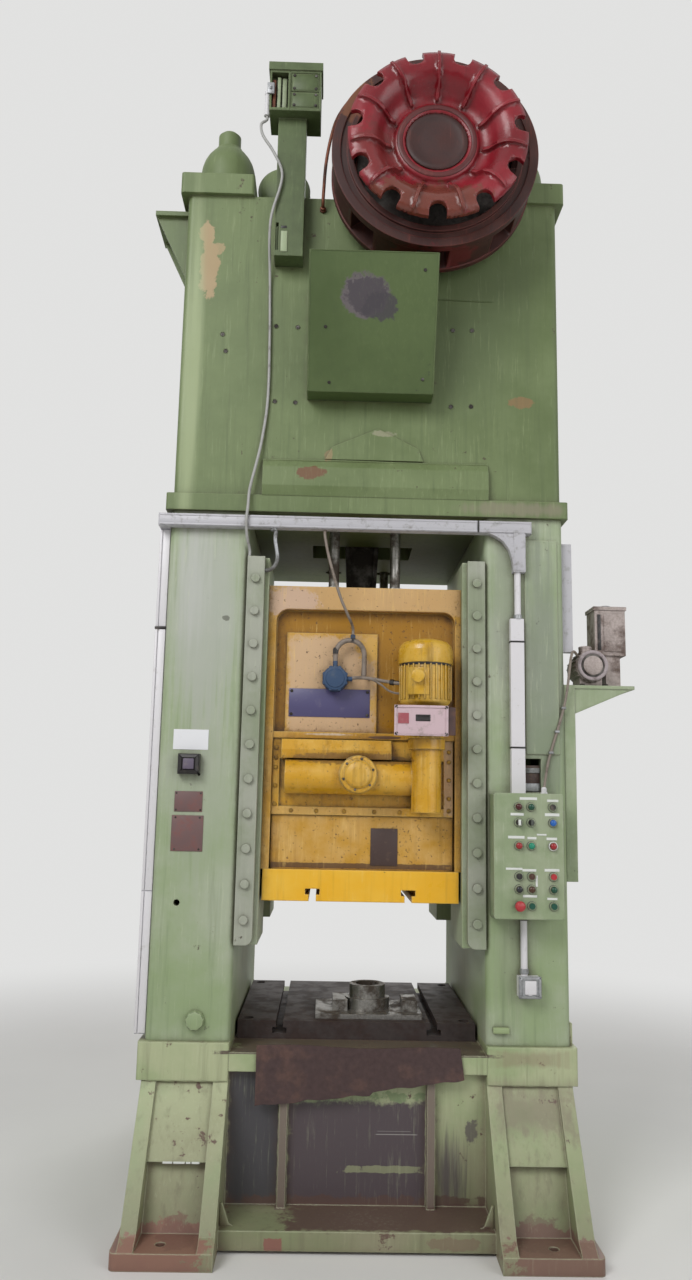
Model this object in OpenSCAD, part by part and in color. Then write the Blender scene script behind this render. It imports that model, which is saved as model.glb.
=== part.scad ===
// Straight-sided single-point mechanical stamping press.
// Millimetres. X to the right, Y into the press, Z up from the floor.
// The origin is the middle of the anchor-bolt rectangle at floor level.

/* [Frame] */
// Width over the two columns
frame_w = 1600; // [1400:10:1800]
// Depth of the columns from front to rear
frame_d = 1240; // [1000:10:1400]
// Clear width of the window between the columns
window_w = 960; // [860:10:1000]
// Wall thickness of the hollow columns
column_wall = 45; // [30:1:60]
// Height of the bed legs under the joint band
leg_h = 508; // [460:1:560]
// Height of the joint band between bed and columns
band_h = 134; // [100:1:160]
// How far the joint bands stand out of the columns
band_lip = 20; // [10:1:30]
// Height at which the columns end and the crown begins
column_top = 2690; // [2600:5:2800]
// Height of the flange round the foot of the crown
crown_flange_h = 70; // [50:1:90]
// Height of the top plate of the crown above the floor
crown_top = 4100; // [4000:5:4200]
// Wall thickness of the crown
crown_wall = 50; // [35:1:60]
// Corner radius of the columns and the crown
corner_r = 26; // [10:1:40]

/* [Feet] */
// How far the feet reach out in front of the columns
foot_reach = 330; // [250:5:400]
// Thickness of the foot plates
foot_t = 55; // [40:1:70]
// Thickness of the buttress cheeks
cheek_t = 55; // [35:1:70]
// Radius of the anchor bolt holes
anchor_r = 17; // [12:0.5:22]

/* [Table and bolster] */
// Height of the bed table
table_top = 609; // [560:1:640]
// Thickness of the bed table
table_t = 67; // [50:1:90]
// Thickness of the bolster plate
bolster_t = 67; // [50:1:120]
// Depth of the bolster plate
bolster_d = 840; // [700:5:900]
// Width of the neck of a T-slot
tslot_neck = 28; // [22:1:32]
// Width of the head of a T-slot
tslot_head = 56; // [40:1:60]
// Height of the head of a T-slot
tslot_head_h = 22; // [16:1:26]
// Depth of a T-slot
tslot_depth = 47; // [38:1:55]
// Distance of the outer bolster slots from the middle
bolster_slot_x = 305; // [250:5:340]

/* [Tie rods] */
// Radius of the tie rods
tie_r = 50; // [40:1:60]
// Radius of the upper tie-rod nuts
tie_nut_r = 120; // [100:1:130]
// Height of the upper tie-rod nuts
tie_nut_h = 225; // [160:1:240]
// Thickness of the pads under the upper nuts
tie_pad_h = 92; // [60:1:110]
// Height of the top of the tie rods
tie_top = 4498; // [4450:1:4540]

/* [Guides] */
// Width of the bolted gib bars
gib_w = 70; // [60:1:80]
// Thickness of the gib bars
gib_t = 32; // [20:1:40]
// Height of the lower end of the gib bars
gib_z0 = 990; // [950:5:1040]
// Height of the upper end of the gib bars
gib_z1 = 2505; // [2450:5:2560]
// Bolts in one gib bar
gib_bolts_n = 11; // [9:1:13]
// Distance from one gib bolt to the next
gib_pitch = 132.8; // [120:0.1:140]
// Height of the lowest gib bolt
gib_bolt_z = 1084; // [1060:1:1100]
// Play between the slide and each guide face
guide_gap = 0.5; // [0.3:0.1:1]

/* [Slide] */
// Width of the slide body
slide_w = 784; // [760:2:800]
// Depth of the slide body from front to rear
slide_d = 1120; // [1000:10:1160]
// Height of the lower face of the slide at the top of its stroke
slide_face_z = 1150; // [1100:5:1200]
// Thickness of the slide's T-slot plate
slide_plate_t = 120; // [90:5:140]
// Height of the top of the slide
slide_top = 2400; // [2350:5:2450]
// Wall thickness of the slide
slide_wall = 45; // [30:1:60]
// Distance of the slide's T-slots from the middle
slide_slot_x = 187; // [160:1:220]
// How far the slide can be adjusted down on its screw
adjust_range = 80; // [50:5:100]
// Distance of the air balance cylinders from the middle, to front and rear
balance_y = 410; // [400:5:430]

/* [Eccentric drive] */
// Height of the eccentric gear's axle
axle_z = 3430; // [3380:5:3480]
// Radius of the axle
axle_r = 90; // [70:1:110]
// Eccentric throw, half of the stroke
throw = 100; // [80:5:110]
// Radius of the eccentric
ecc_r = 230; // [215:1:240]
// Tooth module of the drive gears
gear_m = 16; // [12:1:18]
// Teeth of the eccentric gear
gear_z = 76; // [70:1:80]
// Teeth of the drive pinion
pinion_z = 18; // [17:1:22]
// Sideways place of the drive shaft
shaft_x = 240; // [200:5:280]
// Radius of the drive shaft
shaft_r = 70; // [60:1:80]
// Play of one tooth flank in mesh
flank_play = 0.4; // [0.2:0.1:1]
// Running clearance of shafts in their bores
run_fit = 0.05; // [0.02:0.01:0.1]
// Height of the wrist pin at the top of the stroke
wrist_z = 2200; // [2150:5:2230]
// Radius of the wrist pin
wrist_r = 55; // [45:1:65]

/* [Brake and flywheel] */
// Radius of the brake drum
drum_r = 420; // [380:5:440]
// Radius of the ribbed star disc
star_r = 358; // [330:1:370]
// Notches and ribs of the star disc
star_n = 11; // [9:1:13]
// Radius of the flywheel
fly_r = 500; // [440:5:520]
// Width of the flywheel
fly_w = 200; // [150:5:220]
// Number of drive belts
belt_n = 4; // [3:1:5]
// Radius of the motor pulley
pulley_r = 90; // [80:1:120]
// Sideways place of the main motor
motor_x = -380; // [-420:5:-340]
// Height of the main motor's shaft
motor_z = 4330; // [4300:5:4360]
// Radius of the main motor's casing
motor_r = 135; // [115:1:140]
// Radius of the air receiver on the crown
receiver_r = 118; // [90:1:120]

/* [Control box] */
// Lower side of the control box
box_z0 = 1120; // [1080:5:1160]
// Upper side of the control box
box_z1 = 1577; // [1540:1:1600]
// Depth of the control box behind its door
box_d = 100; // [80:1:120]
// Radius of a push-button cap
button_r = 11; // [9:0.5:13]
// Travel of a push-button
button_travel = 4; // [3:0.5:6]

/* [Hidden] */
$fn = 48;
frame_y = frame_d / 2;
frame_x = frame_w / 2;
window_x = window_w / 2;
column_mid = (frame_x + window_x) / 2;
tie_x = column_mid + 5;
low_nut_r = 85;
low_nut_h = 140;
low_nut_z = leg_h - 80 - low_nut_h;
tie_y = frame_y - 150;
anchor_x = column_mid + 25;
anchor_y = frame_y + foot_reach - 70;
bolster_w = window_w - 20;
box_x0 = window_x + 15;
box_x1 = frame_x - 48;
drop_x = frame_x - 185;
trunk_z0 = column_top - 72;
trunk_z1 = column_top - 22;
band_x = frame_x + band_lip;
band_y = frame_y + band_lip;
column_z0 = leg_h + band_h;
crown_z0 = column_top + crown_flange_h;
crown_x = frame_x - 5;
bolster_z = table_top + bolster_t;
slide_x = slide_w / 2;
slide_y = slide_d / 2;
slide_z0 = slide_face_z + slide_plate_t;
tongue_y = 260;
tongue_x = window_x - 12;
rail_x = slide_x + guide_gap;
rail_y = tongue_y + guide_gap;
rail_front = frame_y - 20;
gib_x0 = window_x - gib_w;
gib_bolt_x = window_x - 35;
gib_bolt_r = 10;
gib_front = rail_front + gib_t;
bolt_gap = 0.5;
rod_gap = 1;

gear_cd = gear_m * (gear_z + pinion_z) / 2;
shaft_z = round(100 * (axle_z + sqrt(gear_cd * gear_cd - shaft_x * shaft_x))) / 100;
mesh_angle = atan2(shaft_z - axle_z, shaft_x);
gear_y0 = 140;
gear_y1 = 270;
rib_front = -115;
rib_rear = 285;
rib_t = 45;
strap_half = 65;
bearing_half = 108;
strap_r = 310;
bush_r = 250;
bearing_len = 140;
bearing_r = 140;

seat_gap = 0.2;
star_hub_r = 162;
star_cap_r = 124;
hub_r = ecc_r - throw - 5;
fly_y0 = frame_y + 40;
belt_w = 18;
belt_t = 14;
belt_pitch = 36;
belt_y0 = fly_y0 + 46;

screw_r = 75;
fork_z0 = 1990;
fork_z1 = 2070;
fork_half = 165;
fork_in = 95;
fork_x = 110;
deck_z = 1560;
deck_t = 60;
screw_z0 = deck_z - adjust_range - 140;
nut_m = 8;
nut_teeth = 60;
nut_pinion_teeth = 20;
nut_gear_z0 = 1640;
nut_gear_h = 60;
nut_pinion_x = 200;
nut_cd = nut_m * (nut_teeth + nut_pinion_teeth) / 2;
nut_pinion_y = -sqrt(nut_cd * nut_cd - nut_pinion_x * nut_pinion_x);
nut_mesh_angle = atan2(nut_pinion_y, nut_pinion_x);

balance_x = 130;
balance_rod_r = 22;
balance_bore_r = 60;

recess_y = slide_y - 45;
recess_x0 = -360;
recess_x1 = 368;
junction_x = -117;
junction_z = 2021;
neck_bend_r = 58;
neck_pipe_r = 9;
neck_inlet_x = -48;
drum_axis_y = -590;
drum_z = 1628;
reducer_x = 246;
reducer_y = -640;
counter_rear = -728;
cap_x = -20;
cap_z = 1639;
plate_top_z = 1781;
ledge_z = 1806;

door_rear = -frame_y - box_d - 1;
door_front = door_rear - 20;
door_skin = 4;
hinge_x = box_x1 + 9;
hinge_y = -frame_y - box_d + 8;
hinge_z = [box_z0 + 60, box_z1 - 120];
hinge_r = 4;
collar_h = 6;
stem_gap = 0.1;
lamp_places = [[0, 0], [0, 1], [1, 2], [2, 0], [2, 1], [2, 2], [4, 0], [4, 1], [4, 2]];
button_cols = [for (share = [0.35, 0.533, 0.852]) box_x0 + share * (box_x1 - box_x0)];
button_rows = [1529, 1471, 1385, 1273, 1226, 1166];

crown_cord_places = [[-462, -710, 4423.7], [-462, -711, 4400], [-484, -725, 4368], [-474, -734, 4310],
  [-430, -734, 4240], [-392, -728, 4160], [-392, -724, 4090], [-426, -722, 3955], [-434, -690, 3860],
  [-430, -634, 3700], [-422, -632, 3420], [-422, -632, 3170], [-440, -636, 2995], [-460, -650, 2880],
  [-480, -658, 2780], [-484, -670, 2700], [-488, -674, 2640], [-484, -660, 2580], [-474, -624, 2532],
  [-474, -623, 2505.3]];
slide_cord_places = [[-171, -638, 2617.7], [-170, -639, 2590], [-150, -648, 2493], [-105, -650, 2345],
  [-68, -628, 2265], [-52, -586, 2238], [neck_inlet_x, -572, 2221], [neck_inlet_x, -572, 2211],
  [neck_inlet_x, -572, 2201.3]];

green = [0.47, 0.58, 0.43];
dark_green = [0.33, 0.41, 0.29];
yellow = [0.86, 0.66, 0.16];
red = [0.55, 0.13, 0.14];
steel = [0.55, 0.55, 0.57];
rust = [0.33, 0.24, 0.21];
pale = [0.78, 0.78, 0.77];
dark = [0.13, 0.13, 0.14];
blue = [0.13, 0.22, 0.38];
bronze = [0.62, 0.45, 0.22];

// A block between two corners
module block(x0, x1, y0, y1, z0, z1) {
  translate([x0, y0, z0]) cube([x1 - x0, y1 - y0, z1 - z0]);
}

// A round bar or bore along X, Y or Z
module bar_x(y, z, x0, x1, r) {
  translate([x0, y, z]) rotate([0, 90, 0]) cylinder(r = r, h = x1 - x0);
}
module bar_y(x, z, y0, y1, r) {
  translate([x, y1, z]) rotate([90, 0, 0]) cylinder(r = r, h = y1 - y0);
}
module bar_z(x, y, z0, z1, r) {
  translate([x, y, z0]) cylinder(r = r, h = z1 - z0);
}

// An outline drawn in X and Z, swept from y0 to y1
module sweep_y(y0, y1) {
  translate([0, y1, 0]) rotate([90, 0, 0]) linear_extrude(y1 - y0) children();
}

// An outline drawn in Y and Z, swept from x0 to x1
module sweep_x(x0, x1) {
  translate([x0, 0, 0]) rotate([90, 0, 90]) linear_extrude(x1 - x0) children();
}

// A section drawn as radius and distance in front, turned round the drive shaft
module turn_front() {
  translate([0, -frame_y, 0]) turn_y() children();
}
module turn_y() {
  translate([shaft_x, 0, shaft_z]) rotate([90, 0, 0]) rotate_extrude() children();
}

// A rectangle with four round corners
module round_rect(x0, x1, y0, y1, r) {
  translate([x0 + r, y0]) square([x1 - x0 - 2 * r, y1 - y0]);
  translate([x0, y0 + r]) square([x1 - x0, y1 - y0 - 2 * r]);
  for (x = [x0 + r, x1 - r], y = [y0 + r, y1 - r]) translate([x, y]) circle(r);
}

module left_and_right() {
  children();
  mirror([1, 0, 0]) children();
}

module front_and_rear() {
  children();
  mirror([0, 1, 0]) children();
}

module four_corners() {
  left_and_right() front_and_rear() children();
}

// Involute teeth: half the angle of a tooth at radius r
function involute(a) = tan(a) * 180 / PI - a;
function base_radius(m, z) = m * z / 2 * cos(20);
function half_tooth(m, z, r) =
  90 / z - flank_play / (m * z / 2) * 180 / PI + involute(20)
  - involute(acos(min(1, base_radius(m, z) / max(r, base_radius(m, z)))));
function tooth_radii(m, z) = [m * z / 2 - 1.25 * m, m * z / 2 - 0.5 * m, m * z / 2, m * z / 2 + m];
function polar(r, a) = [r * cos(a), r * sin(a)];
function gear_outline(m, z) = [
  for (i = [0 : z - 1]) each concat(
    [for (r = tooth_radii(m, z)) polar(r, 360 * i / z - half_tooth(m, z, r))],
    [for (j = [3 : -1 : 0]) polar(tooth_radii(m, z)[j],
      360 * i / z + half_tooth(m, z, tooth_radii(m, z)[j]))])
];

// The loop of a belt round two pulleys, at a radius r1 on the first and r2 on the second
function loop_outline(c1, r1, c2, r2, n) =
  let (d = norm(c2 - c1), a = atan2(c2[1] - c1[1], c2[0] - c1[0]), b = acos((r1 - r2) / d))
  concat(
    [for (i = [0 : n]) c1 + polar(r1, a + b + (360 - 2 * b) * i / n)],
    [for (i = [0 : n]) c2 + polar(r2, a - b + 2 * b * i / n)]);

// A cord: points smoothed between hand-set places, and a round tube swept along them
function spline(p, i, t) =
  let (a = p[max(i - 1, 0)], b = p[i], c = p[min(i + 1, len(p) - 1)], d = p[min(i + 2, len(p) - 1)])
  0.5 * ((2 * b) + (c - a) * t + (2 * a - 5 * b + 4 * c - d) * t * t + (3 * b - a - 3 * c + d) * t * t * t);
function route(p, n) = concat(
  [for (i = [0 : len(p) - 2], k = [0 : n - 1]) spline(p, i, k / n)], [p[len(p) - 1]]);
function unit(v) = v / norm(v);
function heading(q, i) = unit(q[min(i + 1, len(q) - 1)] - q[max(i - 1, 0)]);
module cord(places, r, n, side) {
  q = route(places, n);
  sides = 8;
  rings = len(q);
  points = [for (i = [0 : rings - 1]) each
    let (t = heading(q, i), u = unit(cross(t, side)), v = cross(t, u))
    [for (k = [0 : sides - 1]) q[i] + r * (u * cos(360 * k / sides) + v * sin(360 * k / sides))]];
  skin = [for (i = [0 : rings - 2], k = [0 : sides - 1])
    let (a = i * sides + k, b = i * sides + (k + 1) % sides) [a, b, b + sides, a + sides]];
  ends = [[for (k = [sides - 1 : -1 : 0]) k], [for (k = [0 : sides - 1]) (rings - 1) * sides + k]];
  polyhedron(points = points, faces = concat(skin, ends), convexity = 6);
}

// Bed: two buttressed legs, a table, ribs and a floor tie
module cheek_outline() {
  foot_y = frame_y + foot_reach;
  polygon([[0, 0], [-foot_y, 0], [-foot_y, foot_t], [-foot_y + 50, foot_t + 30],
    [-frame_y - 28, leg_h - 28], [-frame_y - 12, leg_h], [0, leg_h]]);
}
module panel_outline() {
  foot_y = frame_y + foot_reach;
  polygon([[0, 0], [-foot_y + 150, 0], [-foot_y + 150, foot_t], [-frame_y - 104, 262],
    [-frame_y - 139, 270], [-frame_y - 14, leg_h - 32], [-frame_y, leg_h], [0, leg_h]]);
}
module leg() {
  difference() {
    union() {
      linear_extrude(foot_t) round_rect(window_x + 25, frame_x + 25, -frame_y - foot_reach, frame_y + foot_reach, 22);
      front_and_rear() sweep_x(frame_x - cheek_t, frame_x) cheek_outline();
      front_and_rear() sweep_x(window_x, window_x + cheek_t) cheek_outline();
      front_and_rear() sweep_x(window_x + 1, frame_x - 1) panel_outline();
      translate([0, 0, leg_h]) linear_extrude(band_h)
        round_rect(window_x, band_x, -band_y, band_y, 8);
    }
    block(window_x + cheek_t, frame_x - cheek_t, -frame_y + 40, frame_y - 40, -1, leg_h - 80);
    front_and_rear() bar_z(tie_x, -tie_y, 0, column_z0 + 1, tie_r + rod_gap);
    front_and_rear() bar_z(tie_x, -tie_y, low_nut_z, low_nut_z + low_nut_h, low_nut_r + 5);
    front_and_rear() bar_z(anchor_x, -anchor_y, -1, foot_t + 1, anchor_r);
    front_and_rear() block(anchor_x - 60, anchor_x + 60, -anchor_y - 46, -anchor_y + 60, foot_t, 170);
  }
}
module bed() {
  color(green) {
    left_and_right() leg();
    difference() {
      union() {
        block(-window_x, window_x, -band_y + 4, band_y - 4, table_top - table_t, table_top);
        front_and_rear() block(-window_x, window_x, -frame_y + 20, -frame_y + 50, 12, table_top);
        front_and_rear() block(-window_x, window_x, -frame_y - 200, -frame_y + 21, 12, 75);
        left_and_right() front_and_rear()
          block(window_x - 222, window_x - 192, -frame_y - 12, -frame_y + 21, 74, table_top - table_t + 1);
        left_and_right() block(window_x - 230, window_x - 190, -frame_y + 49, frame_y - 49, 12, table_top - table_t + 1);
      }
      bar_z(0, 0, table_top - table_t - 1, table_top + 1, 110);
    }
  }
}

// A hollow column with rounded edges, one of a pair
module column_solid() {
  difference() {
    translate([0, 0, column_z0]) linear_extrude(column_top - column_z0)
      round_rect(window_x, frame_x, -frame_y, frame_y, corner_r);
    block(window_x + column_wall, frame_x - column_wall, -frame_y + column_wall, frame_y - column_wall,
      column_z0 - 1, column_top + 1);
  }
}
module gib_bolt_places() {
  for (i = [0 : gib_bolts_n - 1]) translate([gib_bolt_x, 0, gib_bolt_z + i * gib_pitch]) children();
}
module guide_rail() {
  difference() {
    block(rail_x, window_x + 1, -rail_front, -rail_y, gib_z0, gib_z1);
    gib_bolt_places() bar_y(0, 0, -rail_front - 1, -rail_front + 40, gib_bolt_r + bolt_gap);
  }
}
module upright_left() {
  color(green) {
    difference() {
      mirror([1, 0, 0]) column_solid();
      bar_y(97 - frame_x, 1142, -frame_y - 1, -frame_y + column_wall + 1, 12);
    }
    mirror([1, 0, 0]) front_and_rear() guide_rail();
  }
}
module upright_right() {
  color(green) {
    difference() {
      column_solid();
      block(frame_x - 169, frame_x - 100, -frame_y - 1, -frame_y + column_wall + 1, 1585, 1716);
    }
    front_and_rear() guide_rail();
    block(frame_x - 158, frame_x - corner_r, -frame_y - 5, -frame_y + 1, 1733, column_top - 90);
  }
}

// Crown: a box with inner ribs, corner posts for the tie rods and saddles for the drive shaft
module crown() {
  color(green) difference() {
    union() {
      translate([0, 0, column_top]) linear_extrude(crown_flange_h)
        round_rect(-band_x, band_x, -band_y, band_y, 12);
      difference() {
        translate([0, 0, crown_z0 - 1]) linear_extrude(crown_top - crown_z0 + 1)
          round_rect(-crown_x, crown_x, -frame_y, frame_y, corner_r);
        block(-crown_x + crown_wall, crown_x - crown_wall, -frame_y + crown_wall, frame_y - crown_wall,
          crown_z0, crown_top - 40);
      }
      block(-crown_x + 20, crown_x - 20, rib_front - rib_t, rib_front, crown_z0 - 1, crown_top - 20);
      block(-crown_x + 20, crown_x - 20, rib_rear, rib_rear + rib_t, crown_z0 - 1, crown_top - 20);
      four_corners() block(tie_x - 85, crown_x - 20, -frame_y + 20, -tie_y + 85, crown_z0 - 1, crown_top - 20);
      four_corners() translate([0, 0, crown_top - 1]) linear_extrude(tie_pad_h + 1)
        round_rect(tie_x - 135, band_x + 5, -frame_y - 22, -tie_y + 140, 14);
      block(shaft_x - 150, shaft_x + 150, -frame_y, -frame_y + bearing_len, crown_top - 1, shaft_z);
      block(shaft_x - 150, shaft_x + 150, frame_y - bearing_len, frame_y, crown_top - 1, shaft_z);
      sweep_y(-frame_y - 12, -frame_y + 1) polygon([[-179, 2921], [226, 2921], [206, 2975], [38, 3058], [-150, 2975]]);
      sweep_x(-432, 493) polygon([[-frame_y + 1, 2914], [-frame_y - 8, 2914], [-frame_y - 28, 2880],
        [-frame_y - 34, 2800], [-frame_y - 22, crown_z0 - 1], [-frame_y + 1, crown_z0 - 1]]);
      block(-frame_x - 145, -crown_x + 1, -frame_y + 70, -frame_y + 330, 4046, 4066);
      sweep_y(-frame_y + 90, -frame_y + 110) polygon([[-frame_x - 140, 4047], [-crown_x + 1, 4047], [-crown_x + 1, 3740]]);
      sweep_y(-frame_y + 290, -frame_y + 310) polygon([[-frame_x - 140, 4047], [-crown_x + 1, 4047], [-crown_x + 1, 3740]]);
    }
    four_corners() bar_z(tie_x, -tie_y, column_top - 1, crown_top + tie_pad_h + 1, tie_r + rod_gap);
    bar_y(0, axle_z, -frame_y - 1, frame_y + 1, axle_r);
    bar_y(shaft_x, shaft_z, -frame_y - 1, frame_y + 1, shaft_r + run_fit);
    block(shaft_x - 175, shaft_x + 175, rib_front + 240, rib_rear, crown_top - 41, crown_top + 1);
    block(-230, 230, rib_front, -rib_front, column_top - 1, crown_z0 + 1);
    four_corners() bar_z(balance_x, -balance_y, column_top - 1, crown_z0 + 1, 40);
  }
}

// Tie rods with their nuts, each a solid of its own
module tie_rods() {
  color(green) four_corners() {
    bar_z(tie_x, -tie_y, 240, tie_top - 14, tie_r);
    translate([tie_x, -tie_y, tie_top - 14]) cylinder(r1 = tie_r, r2 = tie_r - 14, h = 14);
  }
}
module tie_nut(r, h, edge) {
  difference() {
    rotate_extrude() polygon([[0, 0], [r, 0], [r, h - edge], [r - edge * 0.3, h - edge * 0.4],
      [r - edge, h], [0, h]]);
    translate([0, 0, -1]) cylinder(r = tie_r, h = h + 2);
  }
}
module tie_rod_nuts() {
  color(green) four_corners() translate([tie_x, -tie_y, 0]) {
    translate([0, 0, crown_top + tie_pad_h]) tie_nut(tie_nut_r, tie_nut_h, 30);
    translate([0, 0, low_nut_z]) tie_nut(low_nut_r, low_nut_h, 8);
  }
}

// Gib bars and their bolts
module gib_bar_outline() {
  difference() {
    union() {
      translate([gib_x0, gib_z0 + 30]) square([gib_w, gib_z1 - gib_z0 - 30]);
      translate([gib_x0 + 30, gib_z0]) square([gib_w - 30, 31]);
      translate([gib_x0 + 30, gib_z0 + 30]) circle(30);
    }
    for (i = [0 : gib_bolts_n - 1]) translate([gib_bolt_x, gib_bolt_z + i * gib_pitch])
      circle(gib_bolt_r + bolt_gap);
  }
}
module gib_bar() {
  sweep_y(-gib_front, -rail_front) gib_bar_outline();
}
module gib_bar_left() {
  color(green) mirror([1, 0, 0]) gib_bar();
}
module gib_bar_right() {
  color(green) gib_bar();
}
module gib_bars_rear() {
  color(green) left_and_right() mirror([0, 1, 0]) gib_bar();
}
module gib_bolt() {
  bar_y(0, 0, -gib_front - 1, -rail_front + 38, gib_bolt_r);
  bar_y(0, 0, -gib_front - 12, -gib_front, 17);
}
module gib_bolts() {
  color(green) four_corners() gib_bolt_places() gib_bolt();
}

// Bolster plate with three T-slots, and the tool that stands on it
module tslot_cut(x, z, up) {
  far = up ? -tslot_depth : 0;
  head = up ? -tslot_depth : tslot_depth - tslot_head_h;
  sweep_y(-slide_y - 1, slide_y + 1) {
    translate([x - tslot_neck / 2, z + (up ? far : -1)]) square([tslot_neck, tslot_depth + 1]);
    translate([x - tslot_head / 2, z + head]) square([tslot_head, tslot_head_h]);
  }
}
module bolster() {
  color(rust) difference() {
    block(-bolster_w / 2, bolster_w / 2, -bolster_d / 2, bolster_d / 2, table_top, bolster_z);
    for (x = [-bolster_slot_x, bolster_slot_x]) tslot_cut(x, bolster_z, true);
    bar_z(0, 0, table_top - 1, bolster_z + 1, 70);
    four_corners() bar_z(bolster_w / 2 - 40, -bolster_d / 2 + 50, bolster_z - 12, bolster_z + 1, 20);
  }
}
module lower_tool() {
  color(steel) difference() {
    union() {
      block(-165, 265, -372, -72, bolster_z, bolster_z + 18);
      bar_z(48, -222, bolster_z + 17, bolster_z + 62, 92);
      bar_z(48, -222, bolster_z + 61, bolster_z + 112, 74);
      for (x = [-95, 190]) block(x, x + 60, -300, -150, bolster_z + 17, bolster_z + 58);
    }
    bar_z(48, -222, bolster_z + 30, bolster_z + 113, 48);
  }
}
module apron_sheet() {
  color(rust) sweep_y(-band_y - 2, -band_y + 4)
    polygon([[-378, 636], [-378, 426], [50, 470], [58, 482], [394, 528], [377, 636]]);
}

// Eccentric axle and the caps over the shaft saddles
module eccentric_axle() {
  color(steel) {
    bar_y(0, axle_z, -frame_y, frame_y, axle_r);
    bar_y(0, axle_z, -frame_y - 25, -frame_y, axle_r + 40);
    bar_y(0, axle_z, frame_y, frame_y + 25, axle_r + 40);
  }
}
module bearing_caps() {
  for (y = [-frame_y, frame_y - bearing_len])
    sweep_y(y, y + bearing_len) difference() {
      translate([shaft_x, shaft_z]) union() {
        intersection() {
          circle(bearing_r);
          translate([-bearing_r, 0]) square([2 * bearing_r, bearing_r]);
        }
        translate([-150, 0]) square([300, 45]);
      }
      translate([shaft_x, shaft_z]) circle(shaft_r + run_fit);
    }
}
module gear_cover() {
  difference() {
    block(shaft_x - 195, shaft_x + 195, rib_front + 220, rib_rear + 20, crown_top, shaft_z + 190);
    block(shaft_x - 189, shaft_x + 189, rib_front + 226, rib_rear + 14, crown_top - 1, shaft_z + 184);
    bar_y(shaft_x, shaft_z, 0, rib_rear + 30, shaft_r + 6);
  }
}

module shaft_caps() {
  color(dark_green) bearing_caps();
  color(dark_green) gear_cover();
}

// Brake drum in front of the crown: mounting ring, web, lugs and the wide front ring
module brake_drum() {
  color(red) {
    turn_front() polygon([[90, 0], [210, 0], [210, 80], [drum_r, 80], [drum_r, 106],
      [320, 106], [320, 120], [90, 120]]);
    for (i = [0 : 7]) translate([shaft_x, 0, shaft_z]) rotate([0, 22.5 + 45 * i, 0])
      sweep_y(-frame_y - 241, -frame_y - 105) intersection() {
        difference() {
          circle(drum_r - 6);
          circle(342);
        }
        polygon([[0, 0], [110, 460], [-110, 460]]);
      }
    turn_front() polygon([[drum_r - 85, 240], [drum_r, 240], [drum_r, 276], [drum_r - 36, 276],
      [drum_r - 36, 268], [drum_r - 62, 268], [drum_r - 62, 282], [drum_r - 85, 282]]);
  }
}

// Drive shaft with the pinion cut on it, the friction disc of the brake and its end flange
module drive_shaft() {
  color(steel) {
    bar_y(shaft_x, shaft_z, -frame_y - 320, frame_y + 300, shaft_r);
    turn_front() polygon([[0, 125], [110, 125], [110, 160], [312, 160], [312, 210], [110, 210], [110, 284],
      [0, 284]]);
    turn_front() polygon([[0, 310], [star_cap_r, 310], [star_cap_r, 327], [star_cap_r - 6, 332], [0, 332]]);
    translate([shaft_x, 0, shaft_z]) sweep_y(gear_y0 - 4, gear_y1 + 4)
      rotate(mesh_angle + 180 + 180 / pinion_z) polygon(gear_outline(gear_m, pinion_z));
  }
}
module star_rib() {
  translate([0, -frame_y, 0]) sweep_x(-6, 6) polygon([[-316, 184], [-334, 184], [-348, 206], [-386, 234],
    [-407, 262], [-415, 296], [-411, 330], [-400, 352], [-380, 352], [-385, 300], [-360, 240], [-320, 212]]);
}
module star_notch() {
  sweep_y(-frame_y - 430, -frame_y - 300) union() {
    translate([0, star_r - 20]) circle(36);
    translate([-36, star_r - 20]) square([72, 60]);
  }
}
module star_disc() {
  color(red) difference() {
    union() {
      turn_front() polygon([[shaft_r, 285], [196, 285], [228, 306], [246, 350], [268, 372], [300, 380],
        [330, 376], [star_r, 362], [star_r, 384], [340, 395], [300, 401], [270, 393], [244, 372],
        [216, 334], [196, 320], [176, 317], [star_hub_r, 338], [star_cap_r + 12, 338],
        [star_cap_r + seat_gap, 332], [star_cap_r + seat_gap, 310], [shaft_r, 310]]);
      for (i = [0 : star_n - 1]) translate([shaft_x, 0, shaft_z]) rotate([0, 360 * i / star_n, 0]) star_rib();
    }
    for (i = [0 : star_n - 1])
      translate([shaft_x, 0, shaft_z]) rotate([0, 360 * (i + 0.5) / star_n, 0]) star_notch();
  }
}
// Flywheel with belt grooves behind the crown, and the clutch disc outside it
module flywheel() {
  color(red) difference() {
    turn_y() polygon([[shaft_r + run_fit, -fly_y0 - fly_w - 6], [150, -fly_y0 - fly_w - 6],
      [150, -fly_y0 - 120], [430, -fly_y0 - 120], [430, -fly_y0 - fly_w], [fly_r, -fly_y0 - fly_w],
      [fly_r, -fly_y0], [430, -fly_y0], [430, -fly_y0 - 80], [150, -fly_y0 - 80], [150, -fly_y0 + 30],
      [shaft_r + run_fit, -fly_y0 + 30]]);
    for (i = [0 : belt_n - 1]) turn_y() translate([fly_r - belt_t, -belt_y0 - i * belt_pitch - belt_w / 2 - 0.5])
      square([belt_t + 1, belt_w + 1]);
    for (i = [0 : 5]) translate([shaft_x, 0, shaft_z]) rotate([0, 60 * i, 0])
      bar_y(0, 290, fly_y0, fly_y0 + fly_w, 75);
  }
}
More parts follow.
